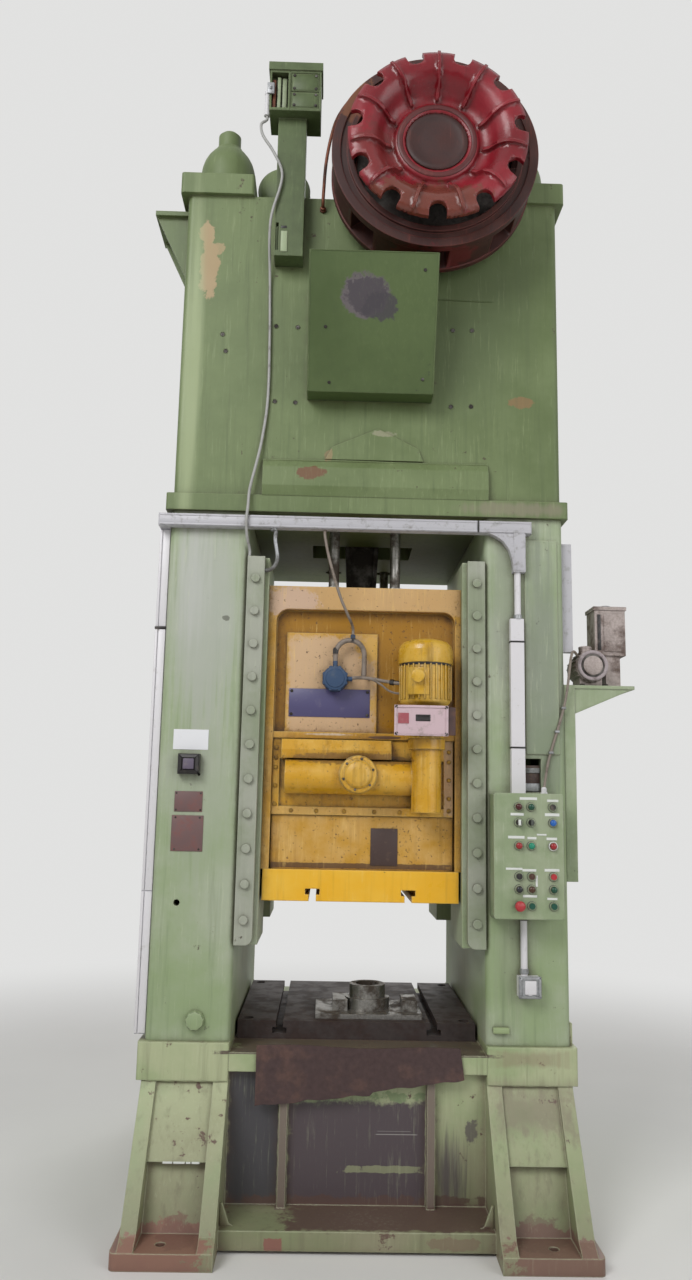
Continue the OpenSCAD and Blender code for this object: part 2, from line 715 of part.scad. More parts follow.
module clutch_disc() {
  color(dark) difference() {
    turn_y() polygon([[shaft_r, -fly_y0 - fly_w - 8], [250, -fly_y0 - fly_w - 8], [250, -fly_y0 - fly_w - 36],
      [120, -fly_y0 - fly_w - 36], [120, -fly_y0 - fly_w - 52], [shaft_r, -fly_y0 - fly_w - 52]]);
    for (i = [0 : 5]) translate([shaft_x, 0, shaft_z]) rotate([0, 60 * i, 0])
      bar_y(0, 200, fly_y0 + fly_w, fly_y0 + fly_w + 60, 14);
  }
}
module drive_belts() {
  shaft_c = [shaft_x, shaft_z];
  motor_c = [motor_x, motor_z];
  color(dark) for (i = [0 : belt_n - 1]) sweep_y(belt_y0 + i * belt_pitch - belt_w / 2,
      belt_y0 + i * belt_pitch + belt_w / 2) difference() {
    polygon(loop_outline(shaft_c, fly_r + 2, motor_c, pulley_r + 2, 44));
    polygon(loop_outline(shaft_c, fly_r - belt_t + 1.5, motor_c, pulley_r - belt_t + 1.5, 44));
  }
}

// Main motor on slide rails behind the crown, and its pulley
module main_motor() {
  color(dark_green) difference() {
    union() {
      bar_y(motor_x, motor_z, 80, 540, motor_r);
      bar_y(motor_x, motor_z, 40, 81, motor_r - 14);
      bar_y(motor_x, motor_z, 539, 570, motor_r - 40);
      block(motor_x - 110, motor_x + 110, 140, 480, crown_top + 24, motor_z - motor_r + 40);
      block(motor_x + motor_r - 25, motor_x + motor_r + 55, 220, 400, motor_z - 40, motor_z + 75);
      for (x = [motor_x - 100, motor_x + 100]) block(x - 20, x + 20, 90, 530, crown_top, crown_top + 26);
    }
    bar_y(motor_x, motor_z, 400, 571, 24 + run_fit);
  }
}
module motor_pulley() {
  color(steel) {
    bar_y(motor_x, motor_z, 401, belt_y0 - 22, 24);
    difference() {
      bar_y(motor_x, motor_z, belt_y0 - 24, belt_y0 + (belt_n - 1) * belt_pitch + 24, pulley_r);
      for (i = [0 : belt_n - 1]) translate([motor_x, belt_y0 + i * belt_pitch + belt_w / 2 + 0.5, motor_z])
        rotate([90, 0, 0]) difference() {
          cylinder(r = pulley_r + 1, h = belt_w + 1);
          translate([0, 0, -1]) cylinder(r = pulley_r - belt_t, h = belt_w + 3);
        }
    }
  }
}
module air_receiver() {
  x = motor_x - 22;
  z = crown_top + 112 + receiver_r;
  length = 320;
  dish = 40;
  color(green) {
    translate([x, 0, z]) rotate([90, 0, 0]) rotate_extrude() polygon(concat(
      [for (a = [0 : 15 : 90]) [receiver_r * sin(a), -dish * cos(a)]],
      [for (a = [90 : -15 : 0]) [receiver_r * sin(a), length + dish * cos(a)]]));
    for (y = [-280, -70]) block(x - 80, x + 80, y, y + 30, crown_top, z - 80);
  }
}

// Eccentric gear: toothed rim, web, hub and eccentric in one piece
module eccentric_gear() {
  color(steel) difference() {
    translate([0, 0, axle_z]) union() {
      sweep_y(gear_y0, gear_y1) difference() {
        rotate(mesh_angle) polygon(gear_outline(gear_m, gear_z));
        circle(520);
      }
      sweep_y(gear_y0 + 40, gear_y1 - 40) difference() {
        circle(530);
        for (i = [0 : 5]) rotate(60 * i + 30) translate([370, 0]) circle(85);
      }
      sweep_y(-bearing_half, gear_y1 + 12) circle(hub_r);
      sweep_y(-strap_half - 4, gear_y0 + 41) translate([0, throw]) circle(ecc_r);
    }
    bar_y(0, axle_z, -200, 400, axle_r + run_fit);
  }
}

// Connecting rod with its bronze bush and wrist pin
module conrod() {
  top = axle_z + throw;
  color(steel) difference() {
    union() {
      bar_y(0, top, -strap_half, strap_half, strap_r);
      sweep_y(-45, 45) polygon([[-105, top - 240], [105, top - 240], [54, wrist_z + 40], [-54, wrist_z + 40]]);
      sweep_y(-60, 60) polygon([[-105, top - 250], [-80, top - 250], [-36, wrist_z + 40], [-54, wrist_z + 40]]);
      sweep_y(-60, 60) polygon([[105, top - 250], [80, top - 250], [36, wrist_z + 40], [54, wrist_z + 40]]);
      bar_y(0, wrist_z, -70, 70, 100);
    }
    bar_y(0, top, -strap_half - 1, strap_half + 1, bush_r);
    bar_y(0, wrist_z, -71, 71, wrist_r);
  }
}
module strap_bush() {
  color(bronze) difference() {
    bar_y(0, axle_z + throw, -strap_half, strap_half, bush_r);
    bar_y(0, axle_z + throw, -strap_half - 1, strap_half + 1, ecc_r + run_fit);
  }
}
module wrist_pin() {
  color(steel) bar_y(0, wrist_z, -70, 70, wrist_r);
}

// Adjusting screw with its fork, and the nut and pinion that turn to set the slide height
module adjusting_screw() {
  color(steel) difference() {
    union() {
      bar_z(0, 0, screw_z0, fork_z0 + 1, screw_r);
      block(-fork_x, fork_x, -fork_half, fork_half, fork_z0, fork_z1);
      front_and_rear() sweep_y(fork_in, fork_half) union() {
        translate([-fork_x, fork_z1 - 1]) square([2 * fork_x, wrist_z - fork_z1 + 1]);
        translate([0, wrist_z]) circle(fork_x);
      }
    }
    bar_y(0, wrist_z, -fork_half - 1, fork_half + 1, wrist_r);
  }
}
module adjusting_nut() {
  color(bronze) difference() {
    union() {
      bar_z(0, 0, deck_z + deck_t + seat_gap, nut_gear_z0 + 1, 150);
      translate([0, 0, nut_gear_z0]) linear_extrude(nut_gear_h)
        rotate(nut_mesh_angle) polygon(gear_outline(nut_m, nut_teeth));
      bar_z(0, 0, nut_gear_z0 + nut_gear_h - 1, nut_gear_z0 + nut_gear_h + 60, 115);
    }
    bar_z(0, 0, deck_z, 1900, screw_r + run_fit);
  }
}
module adjust_pinion() {
  color(steel) {
    translate([nut_pinion_x, nut_pinion_y, nut_gear_z0 - 5]) linear_extrude(nut_gear_h + 10)
      rotate(nut_mesh_angle + 180 + 180 / nut_pinion_teeth) polygon(gear_outline(nut_m, nut_pinion_teeth));
    bar_z(nut_pinion_x, nut_pinion_y, deck_z + deck_t - 45 + seat_gap, nut_gear_z0 + nut_gear_h + 30, 30);
  }
}

// Slide: a hollow box with guide tongues, a framed front and an inner deck
module slide() {
  color(yellow) difference() {
    union() {
      difference() {
        union() {
          block(-slide_x, slide_x, -slide_y, slide_y, slide_z0, slide_top);
          left_and_right() block(slide_x - 1, tongue_x, -tongue_y, tongue_y, slide_z0, slide_top - 60);
        }
        block(-slide_x + slide_wall, slide_x - slide_wall, -recess_y + slide_wall, recess_y - slide_wall,
          slide_z0 + 40, slide_top - 40);
        front_and_rear() sweep_y(-slide_y - 1, -recess_y) union() {
          translate([recess_x0, slide_z0 - 1]) square([recess_x1 - recess_x0, 2260 - slide_z0]);
          translate([-310, 2200]) square([628, 105]);
          translate([-310, 2255]) circle(50);
          translate([318, 2255]) circle(50);
        }
      }
      block(recess_x0 + 4, recess_x1 - 6, -recess_y - 20, -recess_y + 1, slide_z0, 1479);
      block(-315, 54, -recess_y - 15, -recess_y + 1, ledge_z - 1, 2212);
      block(recess_x0 - 1, recess_x1 + 1, -slide_y + 6, -recess_y + 1, plate_top_z, ledge_z);
      block(-slide_x + 20, slide_x - 20, -recess_y + 20, recess_y - 20, deck_z, deck_z + deck_t);
    }
    bar_z(0, 0, deck_z - 1, deck_z + deck_t + 1, screw_r + 25);
    bar_z(nut_pinion_x, nut_pinion_y, deck_z + deck_t - 45, deck_z + deck_t + 1, 30 + run_fit);
    block(-190, 190, -175, 175, slide_top - 41, slide_top + 1);
  }
}
module slide_plate() {
  color(yellow) difference() {
    block(-384, 384, -slide_y, slide_y, slide_face_z, slide_z0);
    for (x = [-slide_slot_x, slide_slot_x]) tslot_cut(x, slide_face_z, false);
  }
}

// Adjusting gear housing on the slide front, with its cap, counter box and motor
module adjust_housing() {
  color(yellow) {
    difference() {
      block(recess_x0 + 1, recess_x1 - 6, -slide_y + 15, -recess_y, 1480, plate_top_z);
      block(recess_x0 + 30, recess_x1 - 43, -slide_y + 14, -recess_y - 16, 1512, 1700);
    }
    bar_x(drum_axis_y, drum_z, -305, reducer_x, 66);
    bar_z(reducer_x, reducer_y, 1498, 1742, 58);
    bar_z(reducer_x, reducer_y, 1741, plate_top_z, 72);
    block(reducer_x - 45, reducer_x + 45, reducer_y, -slide_y + 16, 1512, 1735);
    block(-305, 188, drum_axis_y + 4, -recess_y, drum_z - 52, drum_z + 52);
    sweep_x(-322, 112) polygon([[-recess_y, 1690], [-600, 1700], [-608, 1735], [-590, 1775], [-recess_y, 1781]]);
    bar_y(cap_x, cap_z, -672, drum_axis_y, 73);
    housing_cap();
  }
}
module housing_cap() {
  translate([cap_x, 0, cap_z]) rotate([90, 0, 0]) rotate_extrude()
    polygon([[0, 671], [71, 671], [71, 686], [66, 690], [54, 690], [54, 694], [46, 702], [30, 707], [0, 709]]);
}
module adjust_motor() {
  color(yellow) {
    translate([reducer_x - 6, reducer_y, 0]) rotate_extrude() polygon([[0, plate_top_z], [74, plate_top_z],
      [74, plate_top_z + 16], [62, plate_top_z + 24], [62, 1890], [98, 1925], [98, 2074], [107, 2076], [107, 2128],
      [102, 2148], [88, 2162], [62, 2171], [30, 2174], [0, 2174]]);
    block(reducer_x - 82, reducer_x - 1, -742, reducer_y, 1948, 2052);
    block(reducer_x - 50, reducer_x + 40, counter_rear, reducer_y, 1815, 1895);
    bar_y(reducer_x - 46, 2018, -760, -741, 26);
  }
}
module counter_box() {
  color(rust) {
    block(118, 345, -754, counter_rear, 1792, 1898);
    block(112, 316, -758, -753, 1788, 1902);
  }
}
module goose_neck() {
  y = -slide_y - 12;
  z = junction_z + 100;
  far_x = junction_x + 2 * neck_bend_r;
  bar_z(junction_x, y, z - 30, z + 4, neck_pipe_r);
  translate([junction_x + neck_bend_r, y, z]) rotate([90, 0, 0]) rotate_extrude(angle = 180)
    translate([neck_bend_r, 0]) circle(neck_pipe_r - 0.6);
  bar_z(far_x, y, z - 86, z + 4, neck_pipe_r);
  bar_y(far_x, z - 75, y, -recess_y - 15, neck_pipe_r - 1.5);
  bar_z(neck_inlet_x, y, z + neck_bend_r - 4, z + neck_bend_r + 22, neck_pipe_r + 1);
}
module junction_round() {
  color(blue) {
    bar_y(junction_x, junction_z, -slide_y - 22, -recess_y - 15, 50);
    bar_y(junction_x, junction_z, -slide_y - 30, -slide_y - 21, 38);
    bar_z(junction_x, -slide_y - 12, junction_z + 39, junction_z + 71, 10);
    bar_x(-slide_y - 12, junction_z, junction_x + 47, junction_x + 69, 10);
    goose_neck();
  }
}
// Air balance cylinders in the crown and their rods on the slide
module balance_cylinders() {
  color(dark_green) four_corners() difference() {
    bar_z(balance_x, -balance_y, crown_z0, 3150, balance_bore_r + 15);
    bar_z(balance_x, -balance_y, crown_z0 + 25, 3130, balance_bore_r);
    bar_z(balance_x, -balance_y, crown_z0 - 1, crown_z0 + 26, balance_rod_r + 0.1);
  }
}
module balance_rods() {
  color(steel) four_corners() {
    bar_z(balance_x, -balance_y, slide_top, slide_top + 25, 48);
    bar_z(balance_x, -balance_y, slide_top + 24, 3090, balance_rod_r);
    bar_z(balance_x, -balance_y, 3085, 3112, balance_bore_r - 0.1);
  }
}

// Covers, post and fittings on the frame
module crown_cover() {
  color(green) difference() {
    sweep_x(-258, 258) polygon([[-frame_y, 3180], [-frame_y - 100, 3176], [-frame_y - 300, 3680],
      [-frame_y, 3680]]);
    sweep_x(-252, 252) polygon([[-frame_y + 1, 3186], [-frame_y - 96, 3183], [-frame_y - 291, 3674],
      [-frame_y + 1, 3674]]);
  }
}
module switch_post() {
  color(green) {
    post_channel();
    switch_box();
  }
}
module post_channel() {
  difference() {
    block(-412, -292, -frame_y - 90, -frame_y, 3776, 4412);
    block(-400, -304, -frame_y - 79, -frame_y + 1, 3790, 4400);
    block(-408, -396, -frame_y - 91, -frame_y - 40, 3800, 3925);
    block(-420, -399, -frame_y - 60, -frame_y - 30, 3800, 4380);
  }
}
module switch_box() {
  union() {
    difference() {
      block(-450, -232, -frame_y - 140, -frame_y + 20, 4412, 4600);
      block(-442, -372, -frame_y - 141, -frame_y - 100, 4424, 4590);
      block(-360, -240, -frame_y - 141, -frame_y - 134, 4424, 4590);
      block(-364, -362, -frame_y - 141, -frame_y - 138, 4412, 4600);
    }
    block(-456, -226, -frame_y - 146, -frame_y + 26, 4600, 4636);
    block(-358, -242, -frame_y - 138, -frame_y - 133, 4505, 4588);
    block(-358, -242, -frame_y - 138, -frame_y - 133, 4426, 4499);
    bar_z(-462, -frame_y - 90, 4424, 4530, 9);
    block(-464, -449, -frame_y - 94, -frame_y - 86, 4470, 4490);
  }
}
module wall_fittings() {
  color(dark) {
    block(82 - frame_x, 165 - frame_x, -frame_y - 38, -frame_y, 1628, 1706);
    bar_y(124 - frame_x, 1667, -frame_y - 44, -frame_y - 37, 20);
  }
  color(green) bar_y(187 - frame_x, 717, -frame_y - 22, -frame_y, 32);
}

// Cable trunking, conduits and sockets
module trunking() {
  color(pale) {
    block(-frame_x - 42, drop_x + 50, -frame_y - 38, -frame_y, trunk_z0, trunk_z1);
    block(-frame_x - 42, -frame_x, -frame_y - 1, -frame_y + 70, trunk_z0, trunk_z1);
    block(-frame_x - 42, -frame_x, -frame_y + 20, -frame_y + 70, column_z0 + 18, trunk_z0 + 1);
    block(drop_x - 25, drop_x + 25, -frame_y - 38, -frame_y, 2460, trunk_z0 + 1);
    block(frame_x, frame_x + 45, -frame_y + 40, -frame_y + 80, 2150, column_top - 90);
  }
}
module conduits() {
  color(pale) {
    block(drop_x - 37, drop_x + 17, -frame_y - 30, -frame_y, box_z1, 2269);
    bar_z(drop_x - 5, -frame_y - 16, 2268, 2460, 13);
    bar_z(drop_x + 7, -frame_y - 18, 899, box_z0, 13);
    block(drop_x - 18, drop_x + 61, -frame_y - 52, -frame_y, 826, 899);
    bar_y(drop_x + 21, 850, -frame_y - 60, -frame_y - 51, 15);
  }
}

// Lubricator: shelf on the right column, pump motor and tank
module lubricator_shelf() {
  color(green) difference() {
    union() {
      block(frame_x, frame_x + 285, -frame_y + 20, -frame_y + 250, 2000, 2014);
      block(frame_x, frame_x + 44, -frame_y + 20, -frame_y + 60, 1245, 2001);
      sweep_y(-frame_y + 24, -frame_y + 34)
        polygon([[frame_x + 1, 2001], [frame_x + 278, 2001], [frame_x + 1, 1880]]);
      block(frame_x, frame_x + 12, -frame_y + 59, -frame_y + 250, 1860, 2001);
    }
    bar_z(frame_x + 245, -frame_y + 70, 1990, 2020, 7);
  }
}
module lubricator() {
  color(steel) translate([frame_x, -frame_y, 0]) {
    bar_y(126, 2098, 60, 210, 64);
    bar_y(126, 2098, 46, 61, 60);
    bar_y(126, 2098, 40, 47, 38);
    block(80, 172, 80, 190, 2014, 2060);
    bar_z(110, 100, 2150, 2176, 26);
    block(155, 282, 110, 230, 2150, 2340);
    block(150, 287, 105, 235, 2340, 2355);
    block(200, 260, 120, 220, 2014, 2151);
    bar_x(170, 2098, 185, 201, 22);
  }
}

// Control box, door with button collars, fixed lamps, and the moving controls
module control_box() {
  color(green) {
    difference() {
      block(box_x0, box_x1, -frame_y - box_d, -frame_y, box_z0, box_z1);
      block(box_x0 + 4, box_x1 - 4, -frame_y - box_d - 1, -frame_y - 4, box_z0 + 4, box_z1 - 4);
    }
    for (z = hinge_z) {
      bar_z(hinge_x, hinge_y, z, z + 60, hinge_r);
      block(box_x1 - 1, hinge_x - 2, hinge_y - 2, hinge_y + 2, z, z + 28);
    }
  }
}
module each_control() {
  for (row = [0 : 5], col = [0 : 2]) translate([button_cols[col], 0, button_rows[row]]) children();
}
module cabinet_door() {
  color(green) difference() {
    union() {
      sweep_y(door_front, door_rear) round_rect(box_x0 - 3, box_x1 + 3, box_z0 - 3, box_z1 + 3, 8);
      each_control() bar_y(0, 0, door_front - collar_h, door_front + 1, button_r + 5);
      for (z = hinge_z) {
        bar_z(hinge_x, hinge_y, z + 30, z + 58, hinge_r + 3);
        block(box_x1 + 1, hinge_x, door_rear - 2, hinge_y, z + 30, z + 58);
      }
    }
    sweep_y(door_front + door_skin, door_rear + 1) round_rect(box_x0 + 3, box_x1 - 3, box_z0 + 3, box_z1 - 3, 6);
    each_control() bar_y(0, 0, door_front - collar_h - 1, door_front + 5, button_r + stem_gap);
    for (z = hinge_z) bar_z(hinge_x, hinge_y, z + 29, z + 60, hinge_r + run_fit);
  }
}
module indicator_lamps() {
  color(red) for (p = lamp_places) translate([button_cols[p[1]], 0, button_rows[p[0]]]) {
    bar_y(0, 0, door_front - collar_h - 8, door_front + door_skin + 1, button_r + stem_gap);
    bar_y(0, 0, door_front + door_skin, door_front + 18, button_r + 3);
  }
}
module stem(reach) {
  bar_y(0, 0, door_front - collar_h - reach, door_front + 9, button_r);
  bar_y(0, 0, door_front + door_skin + seat_gap, door_front + 9, button_r + 3);
}
module at_control(row, col) {
  translate([button_cols[col], 0, button_rows[row]]) children();
}
module push_button(row, col) {
  at_control(row, col) stem(button_travel + 3);
}
module selector(row, col) {
  at_control(row, col) {
    stem(6);
    block(-4, 4, door_front - collar_h - 18, door_front - collar_h - 5, -10, 10);
  }
}
module button_black() {
  color(dark) push_button(0, 2);
}
module button_black_low() {
  color(dark) push_button(3, 0);
}
module button_brown() {
  color(rust) push_button(3, 1);
}
module button_red() {
  color(red) push_button(3, 2);
}
module button_green() {
  color(green) push_button(5, 1);
}
module button_green_right() {
  color(green) push_button(5, 2);
}
module selector_left() {
  color(dark) selector(1, 0);
}
module selector_right() {
  color(dark) selector(1, 1);
}
module stop_button() {
  color(red) at_control(5, 0) {
    stem(button_travel + 8);
    translate([0, door_front - collar_h - button_travel - 8, 0]) rotate([90, 0, 0]) rotate_extrude()
      polygon([[0, 0], [19, 0], [19, 6], [15, 11], [8, 14], [0, 15]]);
  }
}

// Cords: one lies down the crown, one hangs from the trunking to the slide
module crown_cord() {
  color(pale) cord(crown_cord_places, 6, 4, [0, 1, 0]);
}
module slide_cord() {
  color(dark) cord(slide_cord_places, 6, 5, [0, 1, 0]);
}

bed();
upright_left();
upright_right();
crown();
tie_rods();
tie_rod_nuts();
gib_bar_left();
gib_bar_right();
gib_bars_rear();
gib_bolts();
bolster();
lower_tool();
apron_sheet();
eccentric_axle();
shaft_caps();
brake_drum();
drive_shaft();
star_disc();
flywheel();
clutch_disc();
drive_belts();
main_motor();
motor_pulley();
air_receiver();
eccentric_gear();
conrod();
strap_bush();
wrist_pin();
adjusting_screw();
adjusting_nut();
adjust_pinion();
slide();
slide_plate();
adjust_housing();
adjust_motor();
counter_box();
junction_round();
balance_cylinders();
balance_rods();
crown_cover();
switch_post();
wall_fittings();
trunking();
conduits();
lubricator_shelf();
lubricator();
control_box();
cabinet_door();
indicator_lamps();
crown_cord();
slide_cord();
button_black();
button_black_low();
button_brown();
button_red();
button_green();
button_green_right();
selector_left();
selector_right();
stop_button();
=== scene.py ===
"""Finishes, trim and cords of the stamping press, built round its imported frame."""

import logging
import math
from collections.abc import Iterator
from contextlib import contextmanager
from dataclasses import dataclass, field
from enum import Enum
from functools import partial

import bmesh
import bpy
from mathutils import Matrix, Vector


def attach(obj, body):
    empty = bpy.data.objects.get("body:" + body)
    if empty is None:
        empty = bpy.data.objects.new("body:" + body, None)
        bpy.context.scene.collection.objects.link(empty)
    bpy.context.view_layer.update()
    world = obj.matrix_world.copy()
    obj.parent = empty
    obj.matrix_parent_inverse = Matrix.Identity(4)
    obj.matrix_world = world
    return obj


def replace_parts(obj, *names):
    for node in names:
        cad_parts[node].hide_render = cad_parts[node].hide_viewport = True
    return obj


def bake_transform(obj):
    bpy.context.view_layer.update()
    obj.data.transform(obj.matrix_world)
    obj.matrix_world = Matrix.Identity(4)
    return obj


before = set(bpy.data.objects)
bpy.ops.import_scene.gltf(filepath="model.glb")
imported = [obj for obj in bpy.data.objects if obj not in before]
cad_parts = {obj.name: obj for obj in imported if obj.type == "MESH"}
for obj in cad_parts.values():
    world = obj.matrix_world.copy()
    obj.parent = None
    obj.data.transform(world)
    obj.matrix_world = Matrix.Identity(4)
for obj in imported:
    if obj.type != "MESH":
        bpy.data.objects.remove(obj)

Point = tuple[float, float, float]
Rings = list[tuple[float, float]]
Piece = bpy.types.Object
Socket = bpy.types.NodeSocket
Tree = bpy.types.NodeTree

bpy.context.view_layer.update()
LOG = logging.getLogger("press")
MM = 0.001
METRE = 1000.0
FRONT = (0, -1, 0)
REAR = (0, 1, 0)
UP = (0, 0, 1)
DOWN = (0, 0, -1)
# Radius and distance of each ring of a small screw head and of a hexagon head.
SCREW_HEAD = [(6.5, 0), (6.5, 2), (5, 3.4), (1.5, 3.6)]
HEX_HEAD = [(11, -1), (11, 7), (9.5, 8.5), (8, 8.6)]
HEX = 6
# X and Z of the drive shaft's axis, round which the star disc and the clutch turn.
SHAFT_AXIS = (240.0, 4142.68)
# Angles in degrees below which faces are smooth: on hexagons, on most pieces, on pipes, and on domes and hoses.
CRISP, EVEN, PIPE, SOFT = 20, 35, 50, 60
# How many of each pattern lie side by side on a metre: runs 29 mm wide, brush strokes 10 mm, grit 13 mm, orange peel
# 6 mm (coarser than the real one, so that it shows), groups of chips 400 mm, stains on metal 110 mm, dust 40 mm.
RUNS, STROKES, GRIT, PEEL, CHIP_GROUPS, STAINS, DUST = 34.0, 95.0, 75.0, 160.0, 2.4, 9.0, 26.0
# How much longer runs and strokes are than wide: 1 over these.
RUN_SQUASH, STROKE_SQUASH = 0.045, 0.06
# How far the darkening of inner corners reaches, painted shade from ambient occlusion with some dirt; how wide an edge
# of paint is paled, by wear and as painted highlight, and how wide an edge of metal is worn, in millimetres: wider
# than on the real one, so that it shows.
SHADE_AND_DIRT_REACH, PAINT_EDGE, METAL_EDGE = 45, 7, 2
# Height in millimetres of a dent in plate, of a coat of paint, of machining marks and of a moulded surface.
DENT, COAT, MARKS, MOULDING = 9, 1.2, 0.8, 0.5
# What the orange peel and the chips add to the coat's height.
PEEL_SHARE, CHIP_DEPTH = 0.25, -0.5
# The values of a layer's pattern between which the layer comes in.
SPANS = {"faded": (0.36, 0.64), "streak": (0.5, 0.78), "rubs": (0.72, 0.9), "specks": (0.63, 0.7),
         "corners": (0.07, 0.3), "edges": (0.66, 0.84)}
# Metres above the floor, shifted by the clouds, between which the dirt from the floor fades out.
GRIME_TOP = (-0.3, 0.25)
SMOOTH = {"interpolation_type": "SMOOTHSTEP"}
COLOUR = {"data_type": "RGBA"}
EDGE_SAMPLES = 4


def mm(*lengths: float) -> Point:
    """Millimetres to metres.

    Args:
        lengths: Lengths or coordinates in millimetres.

    Returns:
        The same values in metres.
    """
    return tuple(value * MM for value in lengths)


def linear(colour: str) -> tuple[float, float, float, float]:
    """An sRGB hex colour as the linear values that shaders take.

    Args:
        colour: The colour, such as "#8a9a70".

    Returns:
        Linear red, green, blue and an alpha of 1.
    """
    parts = [int(colour[i:i + 2], 16) / 255 for i in (1, 3, 5)]
    return tuple(c / 12.92 if c <= 0.04045 else ((c + 0.055) / 1.055) ** 2.4 for c in parts) + (1.0,)


def add_node(tree: Tree, kind: str, inputs: dict | None = None, out: int | str = 0, **settings: object) -> Socket:
    """Adds a shader node with its settings and links.

    Args:
        tree: The node tree of the material.
        kind: The node's type, without "ShaderNode".
        inputs: Input name or number to its value, its hex colour, or the socket that feeds it.
        out: The output that is wanted.
        settings: The node's other properties.

    Returns:
        That output, or None from a node that ends the tree.
    """
    made = tree.nodes.new(f"ShaderNode{kind}")
    for name, value in settings.items():
        setattr(made, name, value)
    for key, value in (inputs or {}).items():
        if isinstance(value, Socket):
            tree.links.new(value, made.inputs[key])
        else:
            made.inputs[key].default_value = linear(value) if isinstance(value, str) else value
    return made.outputs[out] if made.outputs else None


def lay_over(tree: Tree, under: Socket | str, over: Socket | str, pattern: Socket, span: tuple[float, float],
             cover: tuple[float, float]) -> Socket:
    """Lays one colour over another where a pattern says so.

    Args:
        tree: The node tree of the material.
        under: The colour below.
        over: The colour on top.
        pattern: The pattern that says where it lies.
        span: The pattern's values between which the cover changes.
        cover: How fully it covers at those two values.

    Returns:
        The colour of both.
    """
    amount = add_node(tree, "MapRange", {0: pattern, 1: span[0], 2: span[1], 3: cover[0], 4: cover[1]}, **SMOOTH)
    return add_node(tree, "Mix", {0: amount, 6: under, 7: over}, 2, **COLOUR)


class Outline(Enum):
    """The outline of a patch of colour."""

    ROUND = "round"
    SQUARE = "square"


@dataclass(frozen=True)
class Patch:
    """A patch of other colour at one place, such as bare primer, rust or a chip.

    Args:
        at: Its middle in millimetres.
        size: Half its width, depth and height in millimetres.
        colour: Its sRGB colour.
        ragged: How ragged its edge is, from 0 to 1.
        strength: How fully it covers the paint.
        outline: Round or square.
        soft: Half the width over which it fades out; above STREAKY it fades along the runs.
    """

    STREAKY = 0.2

    at: Point
    size: Point
    colour: str
    ragged: float = 0.5
    strength: float = 1.0
    outline: Outline = Outline.ROUND
    soft: float = 0.08

    def over(self, tree: Tree, place: Socket, fine: Socket, colour: Socket) -> Socket:
        """Lays the patch over the paint.

        Args:
            tree: The node tree of the paint.
            place: Object coordinates.
            fine: The pattern that makes its edge ragged.
            colour: The paint's colour.

        Returns:
            The colour with the patch.
        """
        put = partial(add_node, tree)
        scale = tuple(METRE / size for size in self.size)
        shift = tuple(-at * MM * k for at, k in zip(self.at, scale))
        near = put("Mapping", {"Vector": place, "Location": shift, "Scale": scale})
        if self.outline is Outline.ROUND:
            far = put("VectorMath", {0: near}, "Value", operation="LENGTH")
        else:
            sides = put("VectorMath", {0: near}, operation="ABSOLUTE")
            x, y, z = (put("SeparateXYZ", {0: sides}, axis) for axis in range(3))
            far = put("Math", {0: x, 1: y}, operation="MAXIMUM")
            far = put("Math", {0: far, 1: z}, operation="MAXIMUM")
        far = put("Math", {0: fine, 1: 2.2 * self.ragged, 2: far}, operation="MULTIPLY_ADD")
        edge = 1.0 + 1.1 * self.ragged
        return lay_over(tree, colour, self.colour, far, (edge - self.soft, edge + self.soft), (self.strength, 0.0))


@dataclass(frozen=True)
class Finish:
    """What a piece is finished with.

    Args:
        name: The finish's name.
    """

    name: str

    def material(self) -> bpy.types.Material:
        """The finish as a node material.

        Returns:
            The material.
        """
        made = bpy.data.materials.new(self.name)
        made.use_nodes = True
        made.node_tree.nodes.clear()
        add_node(made.node_tree, "OutputMaterial", {"Surface": self.surface(made.node_tree)})
        return made


